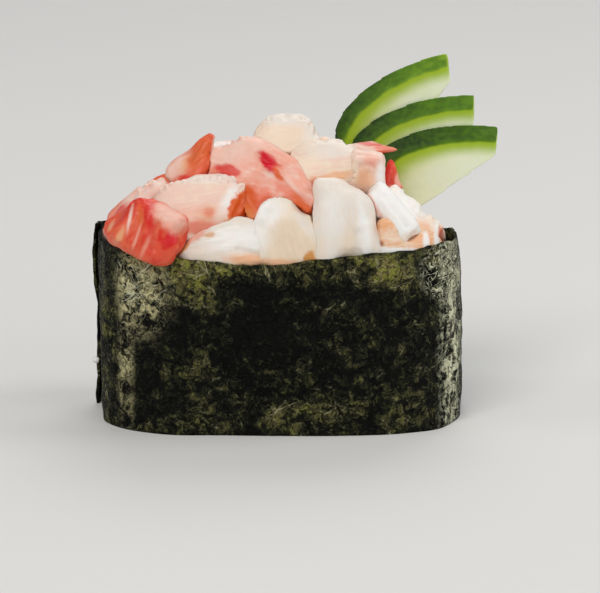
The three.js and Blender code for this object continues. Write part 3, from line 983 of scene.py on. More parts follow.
            StainAndShade(Hue.ORANGE, (-12, -5.8, 41.8), (1.2, 2.6), 32, 0.9),
            StainAndShade(Hue.SHELL, (-9.6, -4.6, 41.6), (0.45, 3), 6, 0.85),
            StainAndShade(Hue.SCARLET, (-12.6, -7.2, 38.4), (2.4, 0.5), 0, 0.95, 0.3),
        ),
        folds=(
            Fold(0.35, 0.9, ((-13.4, -6.6, 38.4), (-10.6, -5, 43.4))),
            Fold(-0.3, 0.8, ((-12, -7, 38.6), (-10, -5.4, 42))),
        ),
        pulls=(
            Pull((-10.2, -4.4, 44.4), (0.6, 0, 0.7), 2.2),
            Pull((-13.6, -6, 42.4), (0.8, 0, -0.9), 3),
        ),
        torn=((-9.6, -4.6, 44.4), (-9.2, -5, 41)),
        lumps=0.3, drape=0.6, fine=True,
    ),
    Flake(
        "white_tip", Meat.WHITE, Hue.SHELL, Hue.WHITE, ((-21, -6.8, 33.8), (-16.8, -5.8, 37)),
        torn=((-20.6, -7.2, 36.4), (-18.4, -6.8, 38), (-16.8, -6.6, 37.8)), lumps=0.3,
    ),
    Flake(
        "cream_ridge", Meat.CREAM, Hue.CREAM, Hue.SHELL, ((2.2, -4.4, 38.8), (12.4, -3.8, 40.2)),
        stains_and_shade=(
            StainAndShade(Hue.WHITE, (8.4, -5, 42.6), (4, 1.6), -4, 0.85, 0.6),
            # painted shade: peach along its lower side
            StainAndShade(Hue.PEACH, (9, -8.2, 38.8), (3.2, 0.7), -10, 0.8),
            StainAndShade(Hue.ORANGE, (5.6, -8.7, 37.4), (1.4, 1.3), 0, 0.75),
        ),
        torn=((5.8, -4, 43.2), (11.4, -3.8, 43.2)),
        lumps=0.3,
    ),
    Flake(
        "top_lobe", Meat.CREAM, Hue.CREAM, Hue.CREAM, ((-3.4, -1, 42.2), (6, 0.6, 43.7)),
        stains_and_shade=(
            # painted shade: peach at its underside
            StainAndShade(Hue.PEACH, (1.8, -3.9, 40.8), (3.6, 0.8), 0, 0.7),
            StainAndShade(Hue.WHITE, (5.6, -2, 44.6), (1.6, 3), 0, 0.85, 0.7),
            StainAndShade(Hue.WHITE, (1.4, -1.4, 46.6), (4.6, 1), 0, 0.9, 0.6),
        ),
        torn=(
            (-2.6, -1.6, 45.4), (0, -1.2, 46.5), (3.3, -1.3, 46.9),
            (5.8, -1.5, 45), (6.4, -1.7, 43),
        ),
        lumps=0.4,
    ),
    Flake(
        "curl", Meat.CREAM, Hue.SHELL, Hue.CREAM, ((14.2, -0.6, 37.4), (13.7, -7.8, 39.2)),
        stains_and_shade=(
            StainAndShade(Hue.PEACH, (13.2, -8, 38.6), (1.5, 1.6), 20, 0.75, 0.7),
            StainAndShade(Hue.CREAM, (12, -8, 40), (0.5, 1.6), 0, 0.8, 0.8),
            StainAndShade(Hue.BLUSH, (14.8, -7.4, 41), (1.6, 0.8), 16, 0.85, 0.6),
            StainAndShade(Hue.CHALK, (15.8, -7.4, 39), (0.7, 2), 0, 0.8, 0.6),
        ),
        folds=(
            Fold(-0.3, 1.2, ((13.2, -9, 38.4), (13.8, -8.6, 39.2))),
            Fold(0.4, 1, ((11.5, -7.6, 38), (12.2, -7.4, 41))),
            Fold(0.5, 0.9, ((12.2, -7.4, 41.2), (15, -7.4, 41))),
            Fold(0.4, 0.9, ((15, -7.4, 41), (15.8, -7.6, 38))),
        ),
        pulls=(
            Pull((17.4, -4, 38.4), (-1.5, 0, 0), 4.6),
            Pull((11.6, -8, 37.4), (-0.6, -0.3, -0.4), 2),
        ),
        drape=0.6,
    ),
    Flake(
        # painted shade: its flesh is peach, shaded under the stick and the slope
        "rim_right", Meat.CREAM, Hue.PEACH, Hue.CREAM, ((14.8, -12.2, 28), (25, -7.4, 27.6)),
        stains_and_shade=(
            StainAndShade(Hue.CREAM, (18, -12.6, 30.6), (3, 0.8), 10, 0.6),
            StainAndShade(Hue.CHALK, (18, -13.2, 28.4), (3.8, 0.75), 6, 0.95, 0.3),
            StainAndShade(Hue.BROWN, (15.7, -13, 29.7), (0.7, 0.4), 10, 0.85),
            StainAndShade(Hue.CHALK, (22.7, -11, 29.4), (0.5, 1.6), 0, 0.9),
            StainAndShade(Hue.CHALK, (24.4, -9.6, 29.4), (0.5, 1.4), 0, 0.9),
        ),
        pulls=(Pull((16, -12, 30.4), (0, -0.6, 2.4), 4),),
        drape=0.6,
    ),
    Flake(
        "right_slope", Meat.WHITE, Hue.CREAM, Hue.WHITE, ((17.2, -5, 34.8), (25.3, -4.4, 28.8)),
        stains_and_shade=(
            StainAndShade(Hue.CHALK, (20, -6.2, 34), (4.4, 1.8), 52, 0.95, 0.6),
            StainAndShade(Hue.PEACH, (22.2, -8, 30.4), (2, 1.5), 30, 0.75),
            StainAndShade(Hue.ORANGE, (24.9, -6.4, 29.2), (1.3, 1.4), 40, 0.8, 0.4),
            StainAndShade(Hue.BROWN, (25.4, -6.4, 29.4), (0.7, 1.1), 40, 0.9, 0.4),
            StainAndShade(Hue.CHALK, (24.4, -6.6, 30), (0.4, 1.4), 10, 0.8),
        ),
        torn=((19.4, -5.2, 36), (21.8, -5.9, 32.7), (25.2, -5.1, 30.6)),
        pulls=(
            Pull((18.6, -5, 35.2), (-0.2, 0, 2.2), 3),
            Pull((21, -5.6, 33.4), (0.4, 0, 0.8), 2.4),
        ),
    ),
    Flake(
        "red_thorn", Meat.RED, Hue.SCARLET, Hue.SALMON, ((17, -1, 34.4), (17.8, 0.8, 39.4)),
        stains_and_shade=(
            StainAndShade(Hue.SHELL, (17.4, -1, 34.8), (1.6, 1.1), 0, 0.9),
            StainAndShade(Hue.BLUSH, (18.7, -1, 36.6), (0.5, 1.4)),
        ),
        pulls=(
            Pull((17.8, 0.6, 39.3), (-0.2, 0, 0.7), 0.9),
            Pull((16, -1.2, 35.6), (-0.7, 0, 0), 1.8),
            Pull((18.6, -1.2, 35.6), (0.7, 0, 0), 1.8),
        ),
        lumps=0.2, swell=0.25, drape=0, fine=True,
    ),
    Flake(
        "red_tip", Meat.RED, Hue.SHELL, Hue.BLUSH, ((9.6, 0.4, 41), (19, 0.8, 41.3)),
        stains_and_shade=(
            StainAndShade(Hue.SALMON, (17.4, 0, 41.4), (2.4, 0.9), 4, 0.8),
            StainAndShade(Hue.SCARLET, (15.8, 0, 41.1), (2, 0.35), 4, 0.9),
            StainAndShade(Hue.WHITE, (11.6, 0, 41.2), (2.4, 0.7), 0, 0.9),
            StainAndShade(Hue.SCARLET, (13.4, 0, 42.4), (3.4, 0.22), 4, 0.7),
        ),
        lumps=0.2, swell=-0.2, drape=0, fine=True,
    ),
)

HIDDEN_FLAKES = (  # at the ends and the back, fuller and more lumpy than the others
    Flake(
        "left_end", Meat.PINK, Hue.SHELL, Hue.BLUSH, ((-25.2, -1, 27.8), (-19, 3.4, 34.4)),
        stains_and_shade=(
            StainAndShade(Hue.SALMON, (-24.6, 1, 30.4), (3, 3), 20, 0.8, depth=1.6),
            StainAndShade(Hue.SCARLET, (-23.6, -2, 31.6), (3, 2), 20, 0.8, depth=1),
        ),
        torn=((-22, 5, 33), (-19, 5.4, 35)),
    ),
    Flake(
        "right_end", Meat.WHITE, Hue.CREAM, Hue.WHITE, ((25.4, 3.4, 25.6), (19.4, 3, 30.4)),
        torn=((19, 5, 31), (23, 5.4, 30)),
        stains_and_shade=(StainAndShade(Hue.SALMON, (24.4, 1.4, 29), (3, 2), 40, 0.6, depth=0.9),),
    ),
    Flake(
        "back_red", Meat.RED, Hue.SALMON, Hue.SALMON, ((-22.4, 9.4, 28.8), (-9.8, 8.6, 35.6)),
        stains_and_shade=(
            StainAndShade(Hue.SCARLET, (-19.4, 11, 32.6), (4.4, 1.6), -28, 0.9, depth=4),
            StainAndShade(Hue.SHELL, (-14.6, 11.6, 32), (4, 0.6), -26, 0.8, 0.6),
            StainAndShade(Hue.SCARLET, (-13, 11, 34.6), (3, 0.9), -26, 0.8),
        ),
        folds=(
            Fold(-0.4, 1, ((-20.6, 11.8, 30), (-11, 10.6, 34.6))),
            Fold(0.5, 1.2, ((-21.4, 10, 32.4), (-14, 8.6, 36.4))),
        ),
    ),
    Flake(
        "back_white", Meat.WHITE, Hue.WHITE, Hue.CREAM, ((-14.6, 12.8, 27), (0, 12.6, 30.4)),
        torn=((-10, 12.8, 31.8), (-1, 12.6, 33)),
    ),
    Flake(
        "back_crown", Meat.PINK, Hue.SHELL, Hue.WHITE, ((-13.4, 3.6, 37.6), (1.2, 7, 36.8)),
        stains_and_shade=(
            StainAndShade(Hue.CHALK, (-8.6, 1.4, 41.4), (2.4, 1), 0, 0.9, depth=2),
            StainAndShade(Hue.SALMON, (-8.4, 7.4, 38.6), (4, 3), 10, 0.7, depth=2),
            StainAndShade(Hue.SCARLET, (-4.4, 7.6, 38.8), (1.8, 1.4), -20, 0.85, 0.3, depth=2),
        ),
        folds=(
            Fold(-0.6, 1.2, ((-12, 6.6, 38), (0, 8.6, 36.6))),
            Fold(0.6, 1.4, ((-11, 3, 40.6), (-1, 6, 39.6))),
        ),
        torn=((-12, 2.4, 41), (-3, 3.4, 41.6)),
    ),
    Flake(
        "back_top", Meat.WHITE, Hue.CREAM, Hue.SHELL, ((1.4, 5.4, 38.4), (10, 4.4, 39.2)),
        torn=((3, 4, 42.2), (9, 3.6, 41.6)),
    ),
    Flake(
        "back_petal", Meat.WHITE, Hue.WHITE, Hue.IVORY, ((7.2, 13.2, 26), (4.4, 10.6, 36)),
        folds=(Fold(-0.8, 1.4, ((6.8, 14.8, 28), (5.8, 13.6, 33))),),
        torn=((2.6, 12, 35), (5, 10.4, 36.4), (7.6, 10.6, 35)),
    ),
    Flake(
        "back_slope", Meat.PINK, Hue.SHELL, Hue.BLUSH, ((12.2, 12.4, 31.2), (22.4, 9.2, 28.2)),
        stains_and_shade=(StainAndShade(Hue.SALMON, (15.6, 13.6, 31.4), (3, 1.6), 10, 0.8, depth=2),),
    ),
)

FLAKES = (
    *FRONT_FLAKES,
    *(replace(flake, lumps=1, swell=0.7, drape=1, ribs=1.1) for flake in HIDDEN_FLAKES),
)


@dataclass(frozen=True)
class Skin:
    """How the skin of some meat is made before its relief."""

    voxel: float
    smoothing: int
    swell: float = 0


@dataclass
class CrabHeap(SubAssembly):
    """The crab meat: its flakes, and the finer meat under and between them."""

    plain: Skin = Skin(0.36, 3, 0.42)
    fine: Skin = Skin(0.26, 1, 0.1)  # of flakes that keep their sharp point
    mass: Skin = Skin(0.5, 2, 0.4)
    heap: Skin = Skin(0.62, 3)
    mass_smoothing: int = 18
    drape_depth: float = 1.9
    lumps: Relief = Relief(1, length=4, width=2.4)
    ribs: Relief = Relief(1, length=9, width=1.3)
    fibres: Relief = Relief(0.22, length=5, width=0.8, rounds=2)
    threads: Relief = Relief(0.08, length=1.6, width=0.3)
    crumbs: Relief = Relief(1.9, length=0.9, width=0.9)
    torn_reach: float = 1.5
    heap_lumps: Relief = Relief(1.7, length=3.6, width=1.8, rounds=2)
    heap_grain: Point = (1, 0.4, 0)
    # painted shade: ochre in the gap beside the white lobe's lower right
    heap_gap_shade: StainAndShade = StainAndShade(Hue.OCHRE, (4.9, -13.4, 28), (1.2, 2), depth=4)

    def build(self) -> None:
        """Builds the meat."""
        mass = self.model_mass()
        for seed, flake in enumerate(FLAKES):
            self.build_flake(flake, seed, mass)
        bpy.data.objects.remove(mass)
        self.build_heap()

    def model_mass(self) -> bpy.types.Object:
        """Makes the soft skin of the whole heap, which the flakes lie in with.

        Returns:
            The skin's mesh object.
        """
        clay = Clay.of_node("crab_heap", "mass")
        clay.join([Clay.of_node("crab_" + flake.part, flake.part).piece for flake in FLAKES])
        self.shape_skin(clay, self.mass)
        clay.remesh(self.mass.voxel)
        clay.smooth(self.mass_smoothing)
        return clay.piece

    @staticmethod
    def shape_skin(clay: Clay, skin: Skin, fuller: float = 0) -> None:
        """Gives some meat its even skin.

        Args:
            clay: the meat.
            skin: the skin.
            fuller: how much further out it is.
        """
        clay.remesh(skin.voxel)
        clay.smooth(skin.smoothing)
        clay.swell(fuller + skin.swell)

    def build_flake(self, flake: Flake, seed: int, mass: bpy.types.Object) -> None:
        """Shapes and dresses one flake.

        Args:
            flake: the flake.
            seed: gives it relief of its own.
            mass: the skin of the whole heap.
        """
        clay = Clay.of_node("crab_" + flake.part, "meat_" + flake.part)
        self.shape_skin(clay, self.fine if flake.fine else self.plain, flake.swell)
        if flake.drape:
            clay.settle(mass, flake.drape, self.drape_depth)
        grain = flake.grain()
        clay.relieve(replace(self.lumps, depth=flake.lumps), grain, seed)
        for pull in flake.pulls:
            clay.pull(pull.place, pull.move, pull.reach)
        clay.refine()
        for number, fold in enumerate(flake.folds):
            clay.mark([fold.line], fold.reach, f"fold_{number}")
            clay.swell(fold.depth, f"fold_{number}")
        if flake.ribs:
            clay.relieve(replace(self.ribs, depth=flake.ribs), grain, seed)
        clay.relieve(self.fibres, grain, seed)
        clay.relieve(self.threads, grain, seed)
        if flake.torn:
            clay.mark(flake.tears(), self.torn_reach, "torn")
            clay.relieve(self.crumbs, grain, seed, "torn")
        nodes = ["crab_" + flake.part]
        self.hand_over(clay.piece, nodes, flake.meat.value, flake.finish().material())

    def build_heap(self) -> None:
        """Shapes and dresses the finer meat."""
        clay = Clay.of_node("crab_heap", "meat_heap")
        clay.remesh(self.heap.voxel)
        clay.smooth(self.heap.smoothing)
        clay.refine()
        clay.relieve(self.heap_lumps, ALONG, seed=3)
        for relief in (self.fibres, self.threads):
            clay.relieve(relief, Vector(self.heap_grain).normalized(), seed=4)
        # painted shade: the meat seen in the gaps between the flakes is mottled with peach, the
        # warm shade of the crevices
        finish = MeatFinish("meat_heap", Hue.SHELL, Hue.PEACH, ALONG, (self.heap_gap_shade,))
        self.hand_over(clay.piece, ["crab_heap"], Meat.CREAM.value, finish.material())


# ---------------------------------------- nori


@dataclass(frozen=True)
class Zone:
    """A part of the strip that looks different, in the form of an ellipsoid."""

    middle: Point
    size: Point
    share: float = 1  # how much of the difference shows in it
    ends: tuple[float, float] = (1.4, 0.4)  # how far out it is over, and how far out it is full

    def cover(self, surface: Surface, ragged: "float | Value" = 0) -> Value:
        """Where the difference shows.

        Args:
            surface: the material in the making.
            ragged: what pushes the zone's edge in and out.

        Returns:
            How much of it shows.
        """
        return (surface.near(self.middle, self.size) + ragged).eased(*self.ends) * self.share


@dataclass(frozen=True)
class NoriFinish:
    """Toasted nori: torn leaves and hair-thin fibres pressed to a dark felt, glossy in patches."""

    name: str = "nori"
    layer: str = "strip"
    unit: float = 100  # the length of one unit of that layer
    black: Colour = linear(7, 8, 6)
    green: Colour = linear(34, 37, 22)
    olive: Colour = linear(88, 86, 52)
    leaf: Colour = linear(156, 145, 94)
    moss: Colour = linear(134, 136, 62)
    straw: Colour = linear(184, 178, 138)
    painted_sheen: Colour = linear(222, 214, 162)  # painted sheen: pale grey where the strip catches the light
    # painted glint: the pale of light on the crinkles and on the sheens
    painted_glint: Colour = linear(230, 230, 196)
    relief: float = 0.9
    strand_ways: tuple[float, ...] = (-65, -15, 35)  # in degrees from along the strip
    strand_box: Point = (4, 0.9, 1)
    streak_box: Point = (0.55, 0.55, 4)
    # zones of lighter tone, darker where the share is below 0; those along the top band and at the
    # top right are painted light, where light falls on the crumpled top and shines through the thin
    # sheet
    lighter: tuple[Zone, ...] = (
        Zone((0, -15, 15), (15, 5, 7), -0.08),
        Zone((0, -15, 27), (30, 6, 3.8), 0.33),
        Zone((2, -15, 3), (26, 6, 4.4), 0.14),
        Zone((-13, -15, 22.4), (4, 4, 2.6), 0.26),
        Zone((17, -14, 25), (6, 4, 3.4), 0.2),
        Zone((-27, -9, 14), (3, 7, 22), 0.2),
    )
    # painted sheen: a patch and a ridge down the left corner, pale where the strip catches the
    # light
    painted_sheen_patch: Zone = Zone((-20.6, -14, 23), (4.6, 5, 7.5))
    painted_sheen_ridge: Zone = Zone((-23.2, -13, 12), (1.4, 4, 14), 0.7)
    # painted sheen: the right end's edge, pale where light grazes it
    painted_sheen_end: Zone = Zone((27.8, -10.4, 14), (2.6, 5.4, 26), ends=(1.5, 0.5))
    # painted glints: the crinkles of the top right corner catch the light
    glinting_corner: Zone = Zone((26, -10, 25), (4.6, 5, 5), ends=(1.3, 0.6))

    def material(self) -> bpy.types.Material:
        """Makes the material.

        Returns:
            The finished material.
        """
        surface = Surface(self.name)
        strip = surface.add("ShaderNodeUVMap", {"uv_map": self.layer}).outputs[0]
        flat = surface.scaled(strip, self.unit)
        strand = sum(self.strands(surface, flat, way) for way in self.strand_ways)
        stirred = surface.stirred(surface.here, 0.7, 0.9)
        clouds = surface.noise(surface.here, 0.13, detail=3, swirl=0.5)
        leaves = surface.noise(stirred, 0.5, detail=4, swirl=0.8)
        felt = surface.noise(stirred, 2.2, detail=3, swirl=1.0)
        patch = surface.cells(stirred, 0.55)
        scrap = surface.cells(stirred, 1.5)
        crease = abs(surface.ripple(stirred, 0.2, swirl=0.6)).eased(0.035, 0.004)
        veins = abs(surface.ripple(stirred, 0.9, swirl=1.2)).eased(0.07, 0.01)
        tone = clouds * 0.9 + leaves * 0.9 + felt * 0.6 + patch * 0.25 + scrap * 0.25 - 0.05
        # painted shade: the tone is darker along the creases
        tone = tone - crease * 0.08
        for zone in self.lighter:
            tone = tone + zone.cover(surface)
        colour = surface.mixed(tone.eased(1.3, 1.55), self.black, self.green)
        colour = surface.mixed(tone.eased(1.5, 1.8), colour, self.olive)
        leaf = surface.mixed(scrap.eased(0.35, 0.65), self.leaf, self.moss)
        colour = surface.mixed(tone.eased(1.72, 2.05), colour, leaf)
        colour = surface.mixed(felt.eased(0.52, 0.4) * 0.45 + veins * 0.4, colour, self.black)
        colour = surface.mixed(strand * tone.eased(1.3, 2.0) * 0.8, colour, self.straw)
        ragged = clouds * 0.5 + leaves * 0.9 - 0.7
        sheen_patch_cover = self.painted_sheen_patch.cover(surface, ragged)
        sheen_end_cover = self.painted_sheen_end.cover(surface, ragged)
        crinkle_glint = self.glinting_corner.cover(surface) * veins
        mottle = (felt * 0.5 + leaves * 0.7 + patch * 0.15).eased(0.55, 0.9)
        # painted sheen on the left corner, mottled and cut back in the creases
        painted_sheen = (sheen_patch_cover + self.painted_sheen_ridge.cover(surface, ragged)) * mottle
        colour = surface.mixed(painted_sheen * (1 - crease * 0.6), colour, self.painted_sheen)
        # painted sheen on the right end, in streaks
        streaks = surface.noise(surface.within(self.streak_box), 1, detail=3, swirl=0.4)
        streaked_sheen = (streaks * 0.6 + mottle * 0.4).eased(0.3, 0.65)
        # painted highlights in one pale: the right end's sheen, the fibres in both sheens and the
        # glints on the crinkles
        for share in (sheen_end_cover * streaked_sheen, strand * (sheen_patch_cover + sheen_end_cover) * 0.8, crinkle_glint):
            colour = surface.mixed(share, colour, self.painted_glint)
        height = leaves * 0.7 + felt * 0.25 + patch * 0.12 + strand * 0.2
        height = height + crinkle_glint * 0.4 - crease * 0.3
        return surface.finished(
            Base_Color=colour,
            Roughness=0.8 - felt.eased(0.4, 0.62) * 0.35,
            Normal=surface.bumped(height, self.relief),
            Specular_IOR_Level=0.1,
        )

    def strands(self, surface: Surface, flat: Socket, way: float) -> Value:
        """Hair-thin fibres that run mostly one way.

        Args:
            surface: the material in the making.
            flat: the place on the laid-out strip.
            way: the way they run, in degrees from along the strip.

        Returns:
            1 on a fibre.
        """
        turn = Euler((0, 0, math.radians(way)))
        place = surface.within(self.strand_box, (way, 0, 0), turn, flat)
        line = abs(surface.ripple(place, 0.8, detail=1, swirl=0.5)).eased(0.02, 0.004)
        return line * surface.noise(place, 0.5, detail=1).eased(0.52, 0.64)


@dataclass
class NoriBand(SubAssembly):
    """The strip of nori."""

    oval: Oval = Oval(27.9, 15.4)
    steps: int = 720  # in which its way round the oval is measured
    levels: int = 3
    rim_angle: float = 60
    foot: float = 2  # how high the crumple takes to come in
    crumple: Relief = Relief(1.1, length=5, width=5, shift=True)
    wrinkles: Relief = Relief(0.45, length=1.8, width=1.8, rounds=2, shift=True)
    finish: NoriFinish = NoriFinish()

    def build(self) -> None:
        """Builds the strip."""
        clay = Clay.of_node("nori_band", "nori_strip")
        clay.edit(bpy.ops.mesh.tris_convert_to_quads)
        clay.crease(self.rim_angle)
        clay.refine(self.levels)
        self.lay_out(clay.piece)
        clay.mark_above(self.foot, "wrinkled")
        clay.relieve(self.crumple, ALONG, seed=2, group="wrinkled")
        clay.relieve(self.wrinkles, ALONG, seed=5, group="wrinkled")
        self.hand_over(clay.piece, ["nori_band"], "nori", self.finish.material())

    def lay_out(self, piece: bpy.types.Object) -> None:
        """Gives the strip a layer that lays it out flat.

        Args:
            piece: the strip's mesh.
        """
        ways = self.oval.way_round(self.steps)
        unit = self.finish.unit * MM
        points = [vertex.co for vertex in piece.data.vertices]
        rounds = [self.oval.share_round(point.x / MM, point.y / MM) for point in points]
        layer = piece.data.uv_layers.new(name=self.finish.layer)
        for face in piece.data.polygons:
            shares = [rounds[index] for index in face.vertices]
            seam = max(shares) - min(shares) > 0.5
            for loop, index, share in zip(face.loop_indices, face.vertices, shares):
                step = share * self.steps
                whole = min(int(step), self.steps - 1)
                way = ways[whole] + (ways[whole + 1] - ways[whole]) * (step - whole)
                way += ways[-1] if seam and share < 0.5 else 0
                layer.data[loop].uv = (way * MM / unit, points[index].z / unit)


# ---------------------------------------- cucumber


@dataclass(frozen=True)
class CucumberFinish:
    """A slice of cucumber: dark skin, a bright rim under it and pale moist flesh."""

    name: str
    place: Matrix  # the slice's own frame: its ellipse in XY, its front face at z = 0
    half_wide: float
    half_tall: float
    slant: tuple[float, float]  # how far the skin goes left and up from the front face to the back
    rind: float  # how far out from the slice's middle the skin begins
    skin: Colour = linear(20, 46, 6)
    skin_light: Colour = linear(102, 150, 18)
    glow: Colour = linear(166, 196, 46)
    young: Colour = linear(208, 222, 116)
    flesh: Colour = linear(234, 244, 202)
    pale: Colour = linear(242, 249, 224)
    vein_box: Point = (3, 3, 0.7)
    painted_light_span: tuple[float, float] = (-14, 1)  # painted light: where, from left to right, the flesh and skin turn paler, lit from the right
    relief: float = 0.06

    def material(self) -> bpy.types.Material:
        """Makes the material.

        Returns:
            The finished material.
        """
        surface = Surface(self.name)
        place, quaternion, _ = self.place.decompose()
        turn = quaternion.to_euler()
        x, y, z = surface.axes(surface.within((1, 1, 1), tuple(place), turn))
        across = (x - z * self.slant[0]) * (1 / self.half_wide)
        up = (y + z * self.slant[1]) * (1 / self.half_tall)
        out = (across * across + up * up).root() + surface.ripple(surface.here, 0.5) * 0.05
        veins = surface.noise(surface.within(self.vein_box, turn=turn), 1, detail=3, swirl=0.6)
        # painted light: paler flesh, less young green and lighter skin towards the right
        lit_right = x.eased(*self.painted_light_span)
        flesh = surface.mixed(veins.eased(0.4, 0.65) * 0.4 + lit_right * 0.6, self.flesh, self.pale)
        colour = surface.mixed(out.eased(0.5, 0.95) * (0.8 - lit_right * 0.5), flesh, self.young)
        colour = surface.mixed(out.eased(self.rind - 0.3, self.rind - 0.03), colour, self.glow)
        mottle = surface.noise(surface.here, 1.1).spread()
        rind = out.eased(self.rind - 0.03, self.rind + 0.025)
        deep = out.eased(self.rind + 0.1, self.rind - 0.01)
        light = mottle * 0.2 + deep * 0.5 + lit_right * 0.2
        colour = surface.mixed(rind, colour, surface.mixed(light, self.skin, self.skin_light))
        grain = surface.noise(surface.here, 3.0)
        return surface.finished(
            Base_Color=colour,
            Roughness=0.3 + grain.spread() * 0.16 + rind * 0.2,
            Normal=surface.bumped(grain * 0.5 + veins * 0.5, self.relief),
            Specular_IOR_Level=0.28,
            Subsurface_Weight=0.25,
            Subsurface_Radius=(0.8, 1.0, 0.4),
            Subsurface_Scale=0.8 * MM,
        )


@dataclass(frozen=True)
class Slice:
    """One slice of cucumber."""

    part: str  # its node's name without cucumber_
    middle: Point  # of the ellipse that its skin follows
    turn: float  # in degrees
    rind: float  # how far out from its middle the skin begins
    lean: float = 3  # in degrees

    def place(self) -> Matrix:
        """The slice's own frame.

        Returns:
            Its middle, lean and turn in one matrix.
        """
        upright = Matrix.Rotation(math.radians(90 - self.lean), 4, "X")
        turned = Matrix.Rotation(math.radians(self.turn), 4, "Z")
        return Matrix.Translation(self.middle) @ upright @ turned


@dataclass
class CucumberFan(SubAssembly):
    """The slices of cucumber spread behind the meat."""

    half_wide: float = 16.4
    half_tall: float = 8.2
    slant: tuple[float, float] = (-0.3, 0.95)
    voxel: float = 0.15
    smoothing: int = 10
    smoothing_factor: float = 0.6
    slices: tuple[Slice, ...] = (
        Slice("front", (30.9, 6.6, 33.9), 0, 0.93),
        Slice("middle", (28.3, 9.3, 38.1), 7, 0.96),
        Slice("back", (26, 12.1, 43.9), 20, 0.98),
    )
    cut_marks: Relief = Relief(0.1, length=3, width=1.6)

    def build(self) -> None:
        """Builds the slices."""
        for seed, one in enumerate(self.slices):
            node = "cucumber_" + one.part
            clay = Clay.of_node(node, "slice_" + one.part)
            clay.remesh(self.voxel)
            clay.smooth(self.smoothing, self.smoothing_factor)
            clay.relieve(self.cut_marks, ALONG, seed)
            sizes = (self.half_wide, self.half_tall, self.slant)
            finish = CucumberFinish(node, one.place(), *sizes, one.rind)
            self.hand_over(clay.piece, [node], "cucumber", finish.material())


# ---------------------------------------- rice


@dataclass(frozen=True)
class RiceFinish:
    """Cooked rice, translucent at its edges."""

    name: str = "rice"
    grain: Colour = linear(240, 237, 228)
    heart: Colour = linear(250, 249, 245)
    relief: float = 0.05

    def material(self) -> bpy.types.Material:
        """Makes the material.

        Returns:
            The finished material.
        """
        surface = Surface(self.name)
        mottle = surface.noise(surface.here, 0.6).eased(0.4, 0.6)
        grit = surface.noise(surface.here, 3.5)
        return surface.finished(
            Base_Color=surface.mixed(mottle, self.grain, self.heart),
            Roughness=0.28 + grit.spread() * 0.2,
            Normal=surface.bumped(grit, self.relief),
            Subsurface_Weight=0.5,
            Subsurface_Radius=(1.0, 0.85, 0.65),
            Subsurface_Scale=1.4 * MM,
        )


